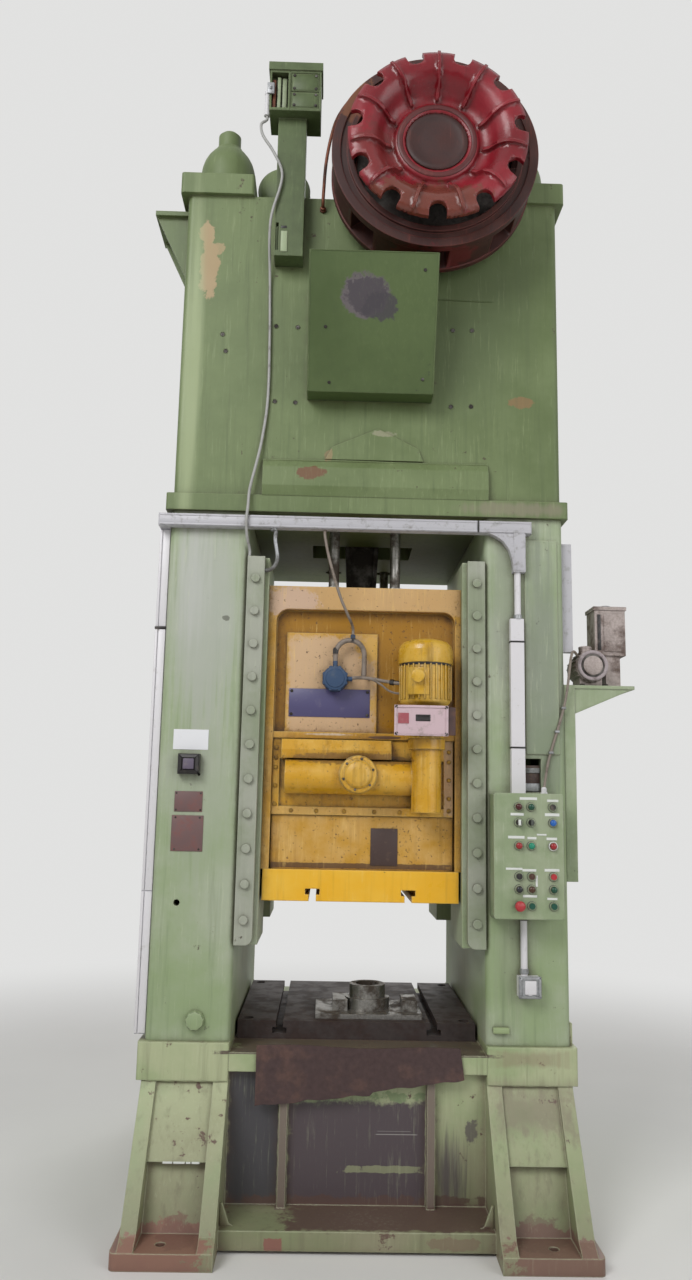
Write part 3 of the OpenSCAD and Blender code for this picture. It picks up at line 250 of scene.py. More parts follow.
@dataclass(frozen=True)
class Paint(Finish):
    """Machine enamel, brushed or sprayed years ago: satin, faded in clouds, streaked by oil and chipped.

    Args:
        base: The paint where it is sound.
        faded: The paint where light and dust have bleached it.
        streak: The colour of the streaks that run down.
        chip: What shows in the chips.
        edge: The pale colour on the edges, where they are worn and where a highlight is painted.
        cloud_mm: Width of the faded clouds.
        streaks: How strong the streaks are.
        chips: Share of the surface that is chipped.
        wear: How strongly the edges are paled, by wear and as painted highlight.
        low_grime: How much dirt gathers towards the floor.
        roughness: Mean roughness.
        chip_mm: Width of a chip.
        specks: How strongly fine dark specks show.
        corners: How strongly the inner corners are darkened: painted shade from ambient occlusion, with some dirt.
        rubs: How strongly the pale brush strokes and scuffs show.
        patches: Single patches of other colour.
    """

    base: str
    faded: str
    streak: str
    chip: str
    edge: str
    cloud_mm: float = 420.0
    streaks: float = 0.4
    chips: float = 0.12
    wear: float = 0.6
    low_grime: float = 0.0
    roughness: float = 0.48
    chip_mm: float = 14.0
    specks: float = 0.0
    corners: float = 0.6
    rubs: float = 0.4
    patches: tuple[Patch, ...] = ()

    def surface(self, tree: Tree) -> Socket:
        """Builds the paint layer by layer: clouds, runs, chips, grime, patches, rubs, specks, corners darkened as
        painted shade and dirt, and edges paled by wear and painted highlight.

        Args:
            tree: The node tree of the material.

        Returns:
            The shader.
        """
        put, lay = partial(add_node, tree), partial(lay_over, tree)
        place = put("TexCoord", out="Object")
        clouds = put("TexNoise", {"Vector": place, "Scale": METRE / self.cloud_mm, "Detail": 6.0, "Roughness": 0.62})
        colour = lay(self.base, self.faded, clouds, SPANS["faded"], (0.0, 1.0))
        down = put("Mapping", {"Vector": place, "Scale": (1.0, 1.0, RUN_SQUASH)})
        runs = put("TexNoise", {"Vector": down, "Scale": RUNS, "Detail": 5.0, "Roughness": 0.6})
        colour = lay(colour, self.streak, runs, SPANS["streak"], (0.0, self.streaks))
        # The pattern's waves are three chips wide, because only their peaks are chipped.
        fine = put("TexNoise", {"Vector": place, "Scale": METRE / self.chip_mm / 3, "Detail": 8.0, "Roughness": 0.72})
        sparse = put("TexNoise", {"Vector": place, "Scale": CHIP_GROUPS, "Detail": 3.0, "Roughness": 0.5})
        sparse = put("Math", {0: sparse, 1: 0.34}, operation="MULTIPLY")
        speck = put("Math", {0: fine, 1: sparse}, operation="ADD")
        # The more the paint is chipped, the lower the peaks that are.
        limit = 0.86 - 0.6 * self.chips
        chips = put("MapRange", {0: speck, 1: limit, 2: limit + 0.03, 3: 0.0, 4: 1.0}, **SMOOTH)
        colour = put("Mix", {0: chips, 6: colour, 7: self.chip}, 2, **COLOUR)
        if self.low_grime > 0:
            height = put("SeparateXYZ", {0: place}, 2)
            height = put("Math", {0: clouds, 1: -0.55, 2: height}, operation="MULTIPLY_ADD")
            colour = lay(colour, self.chip, height, GRIME_TOP, (self.low_grime, 0.0))
        for patch in self.patches:
            colour = patch.over(tree, place, fine if patch.soft <= Patch.STREAKY else runs, colour)
        brush = put("Mapping", {"Vector": place, "Location": (3.1, 1.7, 0.4), "Scale": (1.0, 1.0, STROKE_SQUASH)})
        strokes = put("TexNoise", {"Vector": brush, "Scale": STROKES, "Detail": 7.0, "Roughness": 0.75})
        strokes = put("Math", {0: clouds, 1: 0.35, 2: strokes}, operation="MULTIPLY_ADD")
        colour = lay(colour, self.edge, strokes, SPANS["rubs"], (0.0, self.rubs))
        if self.specks > 0:
            grit = put("TexNoise", {"Vector": place, "Scale": GRIT, "Detail": 3.0, "Roughness": 0.6})
            colour = lay(colour, self.chip, grit, SPANS["specks"], (0.0, self.specks))
        # Inner corners darkened towards the chip colour by ambient occlusion: painted shade, with some dirt.
        open_sky = put("AmbientOcclusion", {"Distance": SHADE_AND_DIRT_REACH * MM}, "AO", samples=EDGE_SAMPLES)
        closed = put("Math", {0: 1.0, 1: open_sky}, operation="SUBTRACT")
        closed = put("Math", {0: closed, 1: fine}, operation="MULTIPLY")
        colour = lay(colour, self.chip, closed, SPANS["corners"], (0.0, self.corners))
        # Edges paled towards the edge colour where the bevel turns the normal: wear, and painted highlight where edges
        # catch light.
        round_edge = put("Bevel", {"Radius": PAINT_EDGE * MM}, samples=EDGE_SAMPLES)
        flat = put("NewGeometry", out="Normal")
        same = put("VectorMath", {0: round_edge, 1: flat}, "Value", operation="DOT_PRODUCT")
        turn = put("Math", {0: 1.0, 1: same}, operation="SUBTRACT")
        turn = put("Math", {0: turn, 1: 2.6}, operation="MULTIPLY")
        worn = put("Math", {0: turn, 1: fine}, operation="ADD")
        colour = lay(colour, self.edge, worn, SPANS["edges"], (0.0, self.wear))
        rough = put("MapRange", {0: clouds, 1: 0.3, 2: 0.75, 3: self.roughness - 0.1, 4: self.roughness + 0.2})
        peel = put("TexNoise", {"Vector": place, "Scale": PEEL, "Detail": 3.0, "Roughness": 0.5})
        height = put("Math", {0: chips, 1: CHIP_DEPTH}, operation="MULTIPLY")
        height = put("Math", {0: peel, 1: PEEL_SHARE, 2: height}, operation="MULTIPLY_ADD")
        plate = put("Bump", {"Strength": 0.3, "Distance": DENT * MM, "Height": clouds, "Normal": round_edge})
        bump = put("Bump", {"Strength": 0.35, "Distance": COAT * MM, "Height": height, "Normal": plate})
        return put("BsdfPrincipled", {"IOR": 1.5, "Metallic": 0.0, "Base Color": colour, "Roughness": rough,
                                      "Normal": bump})


@dataclass(frozen=True)
class Metal(Finish):
    """Bare steel, iron or bronze, machined or rusted.

    Args:
        base: The clean metal.
        stain: Oil, dust or rust on it.
        stained: Share of the surface that is stained.
        metallic: How metallic the clean metal is.
        roughness: Mean roughness.
        grain_mm: Width of the machining marks.
    """

    base: str
    stain: str
    stained: float = 0.4
    metallic: float = 1.0
    roughness: float = 0.38
    grain_mm: float = 3.0

    def surface(self, tree: Tree) -> Socket:
        """Builds the metal: clean and stained areas, and the marks of machining or rust.

        Args:
            tree: The node tree of the material.

        Returns:
            The shader.
        """
        put = partial(add_node, tree)
        place = put("TexCoord", out="Object")
        clouds = put("TexNoise", {"Vector": place, "Scale": STAINS, "Detail": 7.0, "Roughness": 0.66})
        middle = 0.72 - 0.44 * self.stained
        stain = put("MapRange", {0: clouds, 1: middle - 0.08, 2: middle + 0.1, 3: 0.0, 4: 1.0}, **SMOOTH)
        # The pattern's waves are three marks wide, and their finer detail makes the marks.
        grain = put("TexNoise", {"Vector": place, "Scale": METRE / self.grain_mm / 3, "Detail": 4.0})
        tint = put("Mix", {0: stain, 6: self.base, 7: self.stain}, 2, **COLOUR)
        shade = put("MapRange", {0: grain, 1: 0.3, 2: 0.7, 3: 0.72, 4: 1.0})
        tint = put("Mix", {0: 1.0, 6: tint, 7: shade}, 2, blend_type="MULTIPLY", **COLOUR)
        metal = put("MapRange", {0: stain, 1: 0.0, 2: 1.0, 3: self.metallic, 4: 0.1 * self.metallic})
        rough = put("MapRange", {0: stain, 1: 0.0, 2: 1.0, 3: self.roughness, 4: 0.75})
        round_edge = put("Bevel", {"Radius": METAL_EDGE * MM}, samples=EDGE_SAMPLES)
        bump = put("Bump", {"Strength": 0.3, "Distance": MARKS * MM, "Height": grain, "Normal": round_edge})
        return put("BsdfPrincipled", {"Base Color": tint, "Metallic": metal, "Roughness": rough, "Normal": bump})


@dataclass(frozen=True)
class Plain(Finish):
    """Moulded plastic, rubber or enamelled plate with dust on it.

    Args:
        base: Its colour.
        dust: The colour of the dust on it.
        dusty: Share of the surface that dust covers.
        roughness: Mean roughness.
        ior: Its index of refraction.
    """

    base: str
    dust: str
    dusty: float = 0.3
    roughness: float = 0.45
    ior: float = 1.5

    def surface(self, tree: Tree) -> Socket:
        """Builds the plain colour and the dust on it.

        Args:
            tree: The node tree of the material.

        Returns:
            The shader.
        """
        put = partial(add_node, tree)
        place = put("TexCoord", out="Object")
        clouds = put("TexNoise", {"Vector": place, "Scale": DUST, "Detail": 8.0, "Roughness": 0.7})
        middle = 0.72 - 0.44 * self.dusty
        dust = put("MapRange", {0: clouds, 1: middle - 0.06, 2: middle + 0.14, 3: 0.0, 4: 0.8}, **SMOOTH)
        tint = put("Mix", {0: dust, 6: self.base, 7: self.dust}, 2, **COLOUR)
        rough = put("MapRange", {0: dust, 1: 0.0, 2: 1.0, 3: self.roughness, 4: 0.8})
        bump = put("Bump", {"Strength": 0.15, "Distance": MOULDING * MM, "Height": clouds})
        return put("BsdfPrincipled", {"IOR": self.ior, "Metallic": 0.0, "Base Color": tint, "Roughness": rough,
                                      "Normal": bump})


# Old alkyd sprayed on steel plate: bleached in tall clouds, with oily runs and few chips.
COLUMN_GREEN = Paint(
    "sprayed enamel, pale green", "#92a47a", "#a9b29a", "#6a775a", "#544a3c", "#c6cdae", cloud_mm=620, streaks=0.5,
    chips=0.03, wear=0.6, low_grime=0.3, patches=(
        Patch((-640, -620, 2250), (130, 90, 430), "#adb0a8", 0.8, 0.75, soft=0.5),
        Patch((-700, -620, 2430), (60, 90, 240), "#b9bbb6", 0.9, 0.6, soft=0.5),
        Patch((-640, -620, 1560), (120, 90, 300), "#a8aca0", 0.9, 0.4, soft=0.5),
        Patch((-557, -620, 2248), (16, 60, 12), "#5d5e52", 0.9, 0.8),
        Patch((690, -620, 1950), (110, 90, 560), "#747a70", 0.9, 0.6, soft=0.5),
        Patch((560, -620, 2300), (60, 90, 300), "#8e9187", 0.9, 0.5, soft=0.5),
        Patch((590, -620, 960), (70, 90, 190), "#8b8f7c", 0.9, 0.4, soft=0.5)))
# The same paint under dust and guide oil: greyer, pale on the bars' edges, where they are rubbed and a highlight is
# painted.
GIB_GREEN = Paint(
    "dusty enamel, guide bars", "#8b947b", "#a4a799", "#6a6d5c", "#4a4136", "#b8bda9", cloud_mm=300, streaks=0.5,
    chips=0.05, wear=0.7, chip_mm=8)
# Deeper green, less bleached and in part painted shade, as the crown stood in shadow, with putty showing where it has
# scaled.
CROWN_GREEN = Paint(
    "sprayed enamel, crown green", "#5a6a3e", "#707f55", "#495634", "#4a402c", "#94a176", cloud_mm=800, streaks=0.45,
    chips=0.02, wear=0.5, patches=(
        Patch((-690, -620, 3760), (40, 60, 125), "#a5906c", 1.0),
        Patch((-704, -620, 3915), (30, 60, 60), "#a5906c", 1.0),
        Patch((-660, -620, 3850), (34, 60, 30), "#a5906c", 1.0, 0.8),
        Patch((640, -620, 3195), (52, 60, 26), "#8d6a48", 0.9, 0.7),
        Patch((-238, -646, 2855), (58, 60, 28), "#6f4a33", 1.0, 0.9),
        Patch((-168, -632, 2945), (22, 14, 30), "#93805e", 0.9, 0.8),
        Patch((80, -632, 3040), (60, 14, 16), "#98957c", 0.9, 0.7),
        Patch((600, -640, 2725), (200, 60, 26), "#8c8272", 0.9, 0.6, soft=0.5),
        # A darker soft region right of the middle, below the brake: painted shade.
        Patch((400, -620, 3560), (250, 90, 420), "#4f5c3b", 0.9, 0.5, soft=0.5),
        # A pale strip down the rounded left edge: painted highlight.
        Patch((-745, -620, 3300), (34, 90, 700), "#a3af86", 0.4, 0.75, soft=0.6)))
# A folded cover, darker than the crown as painted shade, since its face slopes down away from the light: even and flat
# in gloss, with one burst blister of old primer.
COVER_GREEN = Paint(
    "sprayed enamel, cover green", "#44552b", "#506136", "#3c4929", "#333a29", "#808e63", cloud_mm=500, streaks=0.25,
    rubs=0.1, chips=0.015, wear=0.5, roughness=0.52, patches=(
        Patch((-30, -830, 3530), (98, 140, 84), "#615a5c", 0.5),
        Patch((-24, -830, 3535), (84, 140, 70), "#423c42", 0.8, 0.9),
        Patch((30, -830, 3490), (70, 140, 52), "#3d383e", 0.7, 0.9)))
# Brushed thick and kicked for years: bare primer between the ribs, rust and floor dirt low down.
BED_GREEN = Paint(
    "brushed enamel, bed green", "#97a87b", "#b3ba94", "#706f58", "#665046", "#c6ccaa", cloud_mm=420, streaks=0.5,
    chips=0.07, wear=0.7, low_grime=0.55, chip_mm=20, rubs=0.18, patches=(
        Patch((4, -585, 235), (275, 20, 200), "#51474b", 0.3, 1.0, Outline.SQUARE),
        Patch((-376, -585, 280), (104, 20, 290), "#48464a", 0.4, 1.0, Outline.SQUARE),
        Patch((345, -585, 190), (62, 20, 180), "#51474b", 1.0, 0.9, soft=0.3),
        Patch((430, -585, 330), (40, 20, 60), "#5d5457", 1.0, 0.8),
        Patch((150, -585, 452), (130, 20, 26), "#7e9068", 0.9, 0.9),
        Patch((107, -585, 199), (158, 20, 12), "#8f9272", 0.9, 0.8, Outline.SQUARE),
        Patch((148, -585, 320), (76, 20, 1.4), "#a9a6a2", 0.3, 0.7, Outline.SQUARE),
        Patch((136, -585, 331), (60, 20, 1.1), "#8f8c88", 0.3, 0.6, Outline.SQUARE),
        Patch((0, -585, 60), (480, 20, 46), "#5c463f", 1.0, 0.8, Outline.SQUARE),
        Patch((-275, -625, 260), (20, 20, 230), "#75655f", 0.3, 0.9, Outline.SQUARE),
        Patch((275, -625, 290), (20, 20, 260), "#75655f", 0.3, 0.9, Outline.SQUARE),
        Patch((-291, -822, 28), (30, 24, 24), "#8e5450", 0.6, 0.8, Outline.SQUARE),
        Patch((120, -700, 76), (380, 110, 8), "#5c4640", 0.5, 0.9, Outline.SQUARE),
        Patch((330, -822, 40), (90, 24, 22), "#7d6a58", 1.0, 0.7),
        Patch((0, -600, 609), (500, 500, 6), "#55443f", 0.4, 0.9, Outline.SQUARE),
        Patch((645, -690, 440), (150, 70, 75), "#7d6d63", 1.0, 0.6, Outline.SQUARE, soft=0.5),
        Patch((650, -655, 600), (120, 60, 24), "#8f7d68", 1.0, 0.5, Outline.SQUARE, soft=0.5),
        Patch((-700, -860, 30), (190, 190, 62), "#8f6358", 1.0, 0.85, Outline.SQUARE),
        Patch((-620, -830, 60), (60, 90, 60), "#7c5a4f", 1.0, 0.7),
        Patch((700, -860, 30), (190, 190, 62), "#7d5b52", 1.0, 0.85, Outline.SQUARE),
        Patch((640, -800, 50), (90, 120, 70), "#6f584c", 1.0, 0.6),
        Patch((0, 880, 30), (900, 150, 58), "#7f5c51", 1.0, 0.8, Outline.SQUARE)))
# Brushed yellow under dust and oil: darker ochre in the recess, in part painted shade, a pinkish bloom on the raised
# pad and a painted shadow line along the foot.
SLIDE_YELLOW = Paint(
    "brushed enamel, slide yellow", "#c3922a", "#cfa55c", "#7a531c", "#4f3720", "#ebc878", cloud_mm=170, streaks=0.5,
    chips=0.07, wear=0.55, roughness=0.36, chip_mm=6, specks=0.8, corners=0.9, rubs=0.5, patches=(
        # Darker ochre over the recess: the paint's tone, and in part painted shade.
        Patch((0, -508, 2060), (370, 14, 260), "#9c6d06", 0.1, 0.92, Outline.SQUARE),
        Patch((-130, -534, 2000), (176, 7, 196), "#cdae8d", 0.25, 0.85, Outline.SQUARE),
        Patch((-30, -534, 1920), (100, 7, 60), "#d0a548", 0.9, 0.8),
        Patch((20, -534, 2150), (60, 7, 60), "#d3a646", 0.9, 0.8),
        Patch((0, -560, 2350), (420, 20, 60), "#c6a273", 0.5, 0.8, Outline.SQUARE),
        Patch((-300, -560, 2330), (110, 20, 66), "#c9ab93", 0.8, 0.9),
        Patch((-140, -556, 1798), (100, 14, 4), "#d8cfc2", 1.0, 0.7),
        # A dark line along the joint at the foot of the slide: painted shadow.
        Patch((0, -535, 1285), (380, 12, 10), "#5d4329", 0.6, 0.9, Outline.SQUARE),
        Patch((90, -556, 1790), (70, 14, 6), "#6a4f38", 0.5)))
# Brushed yellow wet with gear oil: glossier, brown where the oil has gathered dust.
HOUSING_YELLOW = Paint(
    "oiled enamel, housing yellow", "#cf9a1f", "#d9ab45", "#745019", "#50371c", "#f2d586", cloud_mm=150, streaks=0.55,
    chips=0.06, wear=0.6, roughness=0.27, chip_mm=7, specks=0.5, corners=0.85, patches=(
        Patch((-20, -600, 1700), (270, 90, 24), "#866234", 0.8, 0.8),
        Patch((346, -545, 1630), (20, 12, 150), "#c8a786", 0.5, 0.8, Outline.SQUARE),
        Patch((-100, -545, 1496), (260, 12, 16), "#cba563", 0.5, 0.7, Outline.SQUARE)))
# The cleanest paint on the machine: warm, even yellow with a wiped gloss.
PLATE_YELLOW = Paint(
    "brushed enamel, clean yellow", "#efb524", "#f2c142", "#a87a20", "#5b4226", "#f6dc90", cloud_mm=320, streaks=0.3,
    chips=0.02, wear=0.5, roughness=0.34)
# Motor enamel: glossy, with oil runs down the fins.
MOTOR_YELLOW = Paint(
    "oiled enamel, motor yellow", "#d0a025", "#d9b04a", "#6d4a1c", "#4f3a22", "#f4d690", cloud_mm=120, streaks=0.6,
    chips=0.06, wear=0.55, roughness=0.28, chip_mm=7, specks=0.3)
# Thick red gloss, still mirror-like on the lobes and dulled by brown dust below.
STAR_RED = Paint(
    "glossy enamel, brake red", "#720b18", "#8a1826", "#431414", "#38201a", "#b35a5c", cloud_mm=240, streaks=0.3,
    chips=0.03, wear=0.55, roughness=0.27, corners=0.8, rubs=0.15, patches=(
        Patch((180, -960, 3850), (260, 160, 110), "#6a3a2b", 0.9, 0.8),
        Patch((10, -960, 4060), (100, 160, 130), "#6d2a26", 0.9, 0.6)))
# The same red burnt brown by brake dust: matt and almost black.
CAP_BROWN = Paint(
    "dusty enamel, cap maroon", "#2b0e0b", "#391712", "#1e0e0d", "#20130f", "#6d372e", cloud_mm=120, streaks=0.2,
    chips=0.03, wear=0.5, roughness=0.55)
# Red under less dust, on the ring round the cap.
RING_MAROON = Paint(
    "dusty enamel, hub red", "#4c1416", "#5b2220", "#3a1a18", "#2c1d19", "#8e4c44", cloud_mm=140, streaks=0.2,
    chips=0.03, wear=0.5, roughness=0.45)
# Cast drum in old red, brown with heat and lining dust.
DRUM_RED = Paint(
    "dusty enamel, drum maroon", "#34130f", "#47221a", "#261310", "#2c1d19", "#8a4038", cloud_mm=200, streaks=0.4,
    chips=0.05, wear=0.6, roughness=0.6, patches=(
        Patch((-60, -896, 4360), (130, 60, 90), "#7a4a2c", 0.8, 0.8),
        Patch((240, -800, 3715), (300, 90, 60), "#5f1518", 0.6, 0.9)))
# Hammer-finish enamel on sheet: a fine pebbled gloss that handling keeps clean.
CAB_GREEN = Paint(
    "hammered enamel, box green", "#8c9c78", "#9da88a", "#737f62", "#4b4436", "#c2cbb0", cloud_mm=150, streaks=0.3,
    chips=0.02, wear=0.5, roughness=0.4, chip_mm=6)
# Sprayed enamel on the folded post, greyer with roof dust, and darkened as painted shade, as the post stood in shadow.
POST_GREEN = Paint(
    "sprayed enamel, post green", "#46542f", "#566540", "#3a442a", "#3a3527", "#8f9c72", cloud_mm=220, streaks=0.4,
    chips=0.03, wear=0.5, chip_mm=8)
# Enamel that oil mist has darkened, on the covers and the motor behind.
DARK_GREEN = Paint(
    "oily enamel, dark green", "#4d5b3e", "#5e6b4c", "#363e2d", "#322c25", "#7d8a66", cloud_mm=180, streaks=0.6,
    chips=0.05, wear=0.5)
# Turned steel kept under oil: bright, with brown films.
STEEL = Metal("oiled machined steel", "#a3a19c", "#4b4138", 0.45)
# Gear steel under grease: dark and soft in its glints.
DARK_STEEL = Metal("greasy machined steel", "#6f6c68", "#2d2722", 0.6, roughness=0.45)
# Tin plate dulled by oil and dirt.
LUB_STEEL = Metal("dirty tinned steel", "#ab9f9a", "#6a5850", 0.42, metallic=0.4, roughness=0.5)
# Hot-rolled sheet rusted through its scale: red-brown, dry and rough.
RUST = Metal("rusted plate", "#524141", "#66483b", 0.5, metallic=0.15, roughness=0.78, grain_mm=9)
# The apron's thinner sheet: the same rust with a purple-brown scale.
APRON_RUST = Metal("rusted thin sheet", "#4f3d3c", "#5f463f", 0.4, metallic=0.1, roughness=0.8, grain_mm=6)
# Ground plate with oil soaked into light rust.
BOLSTER = Metal("oily rusted plate", "#4b4240", "#3a2b27", 0.5, metallic=0.4, roughness=0.6, grain_mm=7)
# Cast bronze, warm where it runs and brown elsewhere.
BRONZE = Metal("bearing bronze", "#a57c43", "#4e3c22", 0.4)
# Zinc gone grey: dull silver with white bloom.
GALVANISED = Metal("galvanised steel", "#a9abad", "#6b6a66", 0.35, metallic=0.7, roughness=0.45)
# Copper pipe under brown oxide.
PIPE_BROWN = Metal("oxidised copper pipe", "#7d4a35", "#4a2e24", 0.4, metallic=0.5, roughness=0.5)
# Steel screws painted over in yellow and rubbed bare by the spanner.
SCREW_YELLOW = Metal("painted steel screws", "#b88f38", "#5d4522", 0.4, metallic=0.4, roughness=0.42)
# Wrapped rubber belts: matt black, grey with dust in the flanks.
BELT = Plain("belt rubber", "#1d1c1b", "#5a544c", 0.25, 0.7)
# Extruded channel: smooth, cool white under a film of grey dust.
TRUNK_GREY = Plain("extruded PVC, grey white", "#b9b8bd", "#85827e", 0.35, 0.38)
# Newer channel, still white.
CONDUIT_WHITE = Plain("extruded PVC, white", "#dcdadd", "#aba79f", 0.2, 0.38)
# Pressed phenolic: black-brown with a low sheen.
DARK_PLASTIC = Plain("bakelite", "#221f1f", "#6b6259", 0.3, 0.4)
# A button face in faded purple-grey plastic.
FADED_PLASTIC = Plain("moulded button, faded grey", "#635a6b", "#7d7575", 0.3, 0.45)
# Injection-moulded lid, satin blue.
JUNCTION_BLUE = Plain("moulded ABS, blue", "#2c4565", "#55606c", 0.35, 0.42)
# Clear coloured acrylic: wet-looking, with a small bright glint on its dome.
LENS_RED = Plain("acrylic lens, red", "#9c262b", "#a0746c", 0.12, 0.16, 1.49)
LENS_MAROON = Plain("acrylic lens, maroon", "#4a1a1c", "#7a6260", 0.15, 0.18, 1.49)
LENS_GREEN = Plain("acrylic lens, green", "#174a36", "#5f7268", 0.12, 0.16, 1.49)
LENS_TEAL = Plain("acrylic lens, teal", "#1f8a6c", "#7aa394", 0.12, 0.16, 1.49)
LENS_BLUE = Plain("acrylic lens, blue", "#2463b4", "#7f93ad", 0.1, 0.16, 1.49)
LENS_SMOKE = Plain("acrylic lens, smoke", "#26282c", "#6b6862", 0.15, 0.18, 1.49)
LENS_AMBER = Plain("acrylic lens, amber brown", "#4c3020", "#7a6652", 0.15, 0.18, 1.49)
# Moulded caps polished by fingers.
BUTTON_GREEN = Plain("moulded button, green", "#1a5040", "#6c7a6c", 0.15, 0.28)
BUTTON_RED = Plain("moulded button, red", "#b3353a", "#a3807a", 0.15, 0.28)
BUTTON_BROWN = Plain("moulded button, brown", "#4a2f24", "#7a6a5e", 0.2, 0.35)
# Soft sheath, pale grey with a rubbed sheen.
CORD_GREY = Plain("cord sheath, grey", "#a5a5a2", "#6f6b65", 0.3, 0.5)
# Older sheath, browned by oil mist.
CORD_DARK = Plain("cord sheath, worn grey", "#857a70", "#5d5248", 0.4, 0.55)
# Stove enamel on thin sheet, its print left off: a satin face with rubbed corners.
BLUE_ENAMEL = Plain("stoved enamel plate, blue", "#4f4b73", "#706a80", 0.25, 0.36)
PALE_ENAMEL = Plain("stoved enamel plate, pale", "#cdb4ba", "#9a8a85", 0.3, 0.4)
DARK_ENAMEL = Plain("stoved enamel plate, dark", "#44332f", "#75604c", 0.3, 0.45)
RUSTY_ENAMEL = Plain("stoved enamel plate, rusty", "#6d5453", "#7d5450", 0.5, 0.5)
RED_PRINT = Plain("printed panel, red", "#a05058", "#a8807c", 0.35, 0.45)
# Grey machine enamel on a small casting, dulled by oil mist: soft and slightly pink.
CAST_GREY = Plain("painted casting, grey", "#a59a9c", "#6b605e", 0.4, 0.42)
# Engraving laminate and coated paper: flat white, slightly yellowed.
LABEL_WHITE = Plain("engraved label, white", "#dfe2dd", "#b4b8aa", 0.2, 0.42)
PAPER_LABEL = Plain("coated paper label", "#e6e7ea", "#cfd0cb", 0.2, 0.5)
# Black rings gone grey round the buttons.
COLLAR_GREY = Plain("moulded collar, grey", "#4c4f4a", "#777a70", 0.25, 0.4)

NODE_FINISHES = {
    COLUMN_GREEN: ("upright_left", "upright_right"),
    GIB_GREEN: ("gib_bar_left", "gib_bar_right", "gib_bars_rear", "gib_bolts"),
    CROWN_GREEN: ("crown", "tie_rods", "tie_rod_nuts", "air_receiver"),
    COVER_GREEN: ("crown_cover",),
    POST_GREEN: ("switch_post",),
    BED_GREEN: ("bed",),
    SLIDE_YELLOW: ("slide",),
    HOUSING_YELLOW: ("adjust_housing",),
    PLATE_YELLOW: ("slide_plate",),
    MOTOR_YELLOW: ("adjust_motor",),
    STAR_RED: ("star_disc", "flywheel"),
    DRUM_RED: ("brake_drum",),
    CAB_GREEN: ("control_box", "cabinet_door", "lubricator_shelf"),
    DARK_GREEN: ("shaft_caps", "main_motor", "balance_cylinders"),
    STEEL: ("eccentric_axle", "motor_pulley", "balance_rods", "wrist_pin", "lower_tool"),
    LUB_STEEL: ("lubricator",),
    DARK_STEEL: ("drive_shaft", "eccentric_gear", "conrod", "adjusting_screw", "adjust_pinion"),
    BOLSTER: ("bolster",),
    RUST: ("apron_sheet", "clutch_disc", "counter_box"),
    BRONZE: ("strap_bush", "adjusting_nut"),
    BELT: ("drive_belts",),
    TRUNK_GREY: ("trunking",),
    CONDUIT_WHITE: ("conduits",),
    DARK_PLASTIC: ("wall_fittings", "button_black", "button_black_low", "selector_left", "selector_right"),
    JUNCTION_BLUE: ("junction_round",),
    LENS_RED: ("indicator_lamps",),
    BUTTON_GREEN: ("button_green", "button_green_right"),
    BUTTON_RED: ("button_red", "stop_button"),
    BUTTON_BROWN: ("button_brown",),
    CORD_GREY: ("crown_cord",),
    CORD_DARK: ("slide_cord",),
}


# The nodes that are round and in sight, and the body that each rides on.
ROUND_NODES = {
    "star_disc": "shaft", "brake_drum": "frame", "flywheel": "flywheel", "adjust_motor": "slide",
    "main_motor": "frame", "air_receiver": "frame"}
# How near points are, in metres, when they are merged: in a node's loose triangles, and in a tube.
MERGE_GAP, BEAD_GAP = 1e-6, 2e-5
# The angle in degrees below which a round node's faces are smooth.
ROUND_ANGLE = 26
# Faces that face the front have a normal whose Y is below this.
FACING = -0.9


@dataclass
class PaintShop:
    """Gives each piece its finish, and keeps one material for each finish.

    Args:
        made: The materials made so far.
    """

    made: dict[Finish, bpy.types.Material] = field(default_factory=dict)

    def of(self, finish: Finish) -> bpy.types.Material:
        """The material of a finish, made once.

        Args:
            finish: The finish.

        Returns:
            Its material.
        """
        if finish not in self.made:
            self.made[finish] = finish.material()
        return self.made[finish]

    def dress(self, piece: Piece, finish: Finish) -> None:
        """Gives a piece this finish alone."""
        piece.data.materials.clear()
        piece.data.materials.append(self.of(finish))

    def dress_nodes(self) -> None:
        """Gives every frame node its material."""
        for finish, names in NODE_FINISHES.items():
            for name in names:
                self.dress(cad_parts[name], finish)
                LOG.info("dressed %s", name)

    def round_nodes(self) -> None:
        """Stands a merged and smoothed copy in for each node whose round faces show."""
        for name, body in ROUND_NODES.items():
            copy = bpy.data.objects.new(f"{name}_round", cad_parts[name].data.copy())
            bpy.context.scene.collection.objects.link(copy)
            with shaping(copy):
                bpy.ops.mesh.select_all(action="SELECT")
                bpy.ops.mesh.remove_doubles(threshold=MERGE_GAP)
            bpy.ops.object.shade_smooth_by_angle(angle=math.radians(ROUND_ANGLE))
            weigh = copy.modifiers.new("weigh", "WEIGHTED_NORMAL")
            weigh.keep_sharp = True
            bpy.ops.object.modifier_apply(modifier=weigh.name)
            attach(copy, body)
            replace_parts(copy, name)
            LOG.info("rounded %s", name)


def only(*pieces: Piece) -> None:
    """Selects these pieces alone, the first as the active one.

    Args:
        pieces: The pieces.
    """
    bpy.ops.object.select_all(action="DESELECT")
    for piece in pieces:
        piece.select_set(True)
    bpy.context.view_layer.objects.active = pieces[0]


@contextmanager
def shaping(piece: Piece) -> Iterator[None]:
    """Edit mode on one piece, with nothing picked at first.

    Args:
        piece: The piece to shape.

    Returns:
        A context in which the edit operators work on it.
    """
    only(piece)
    bpy.ops.object.mode_set(mode="EDIT")
    bpy.ops.mesh.select_mode(type="FACE")
    bpy.ops.mesh.select_all(action="DESELECT")
    yield
    bpy.ops.object.mode_set(mode="OBJECT")


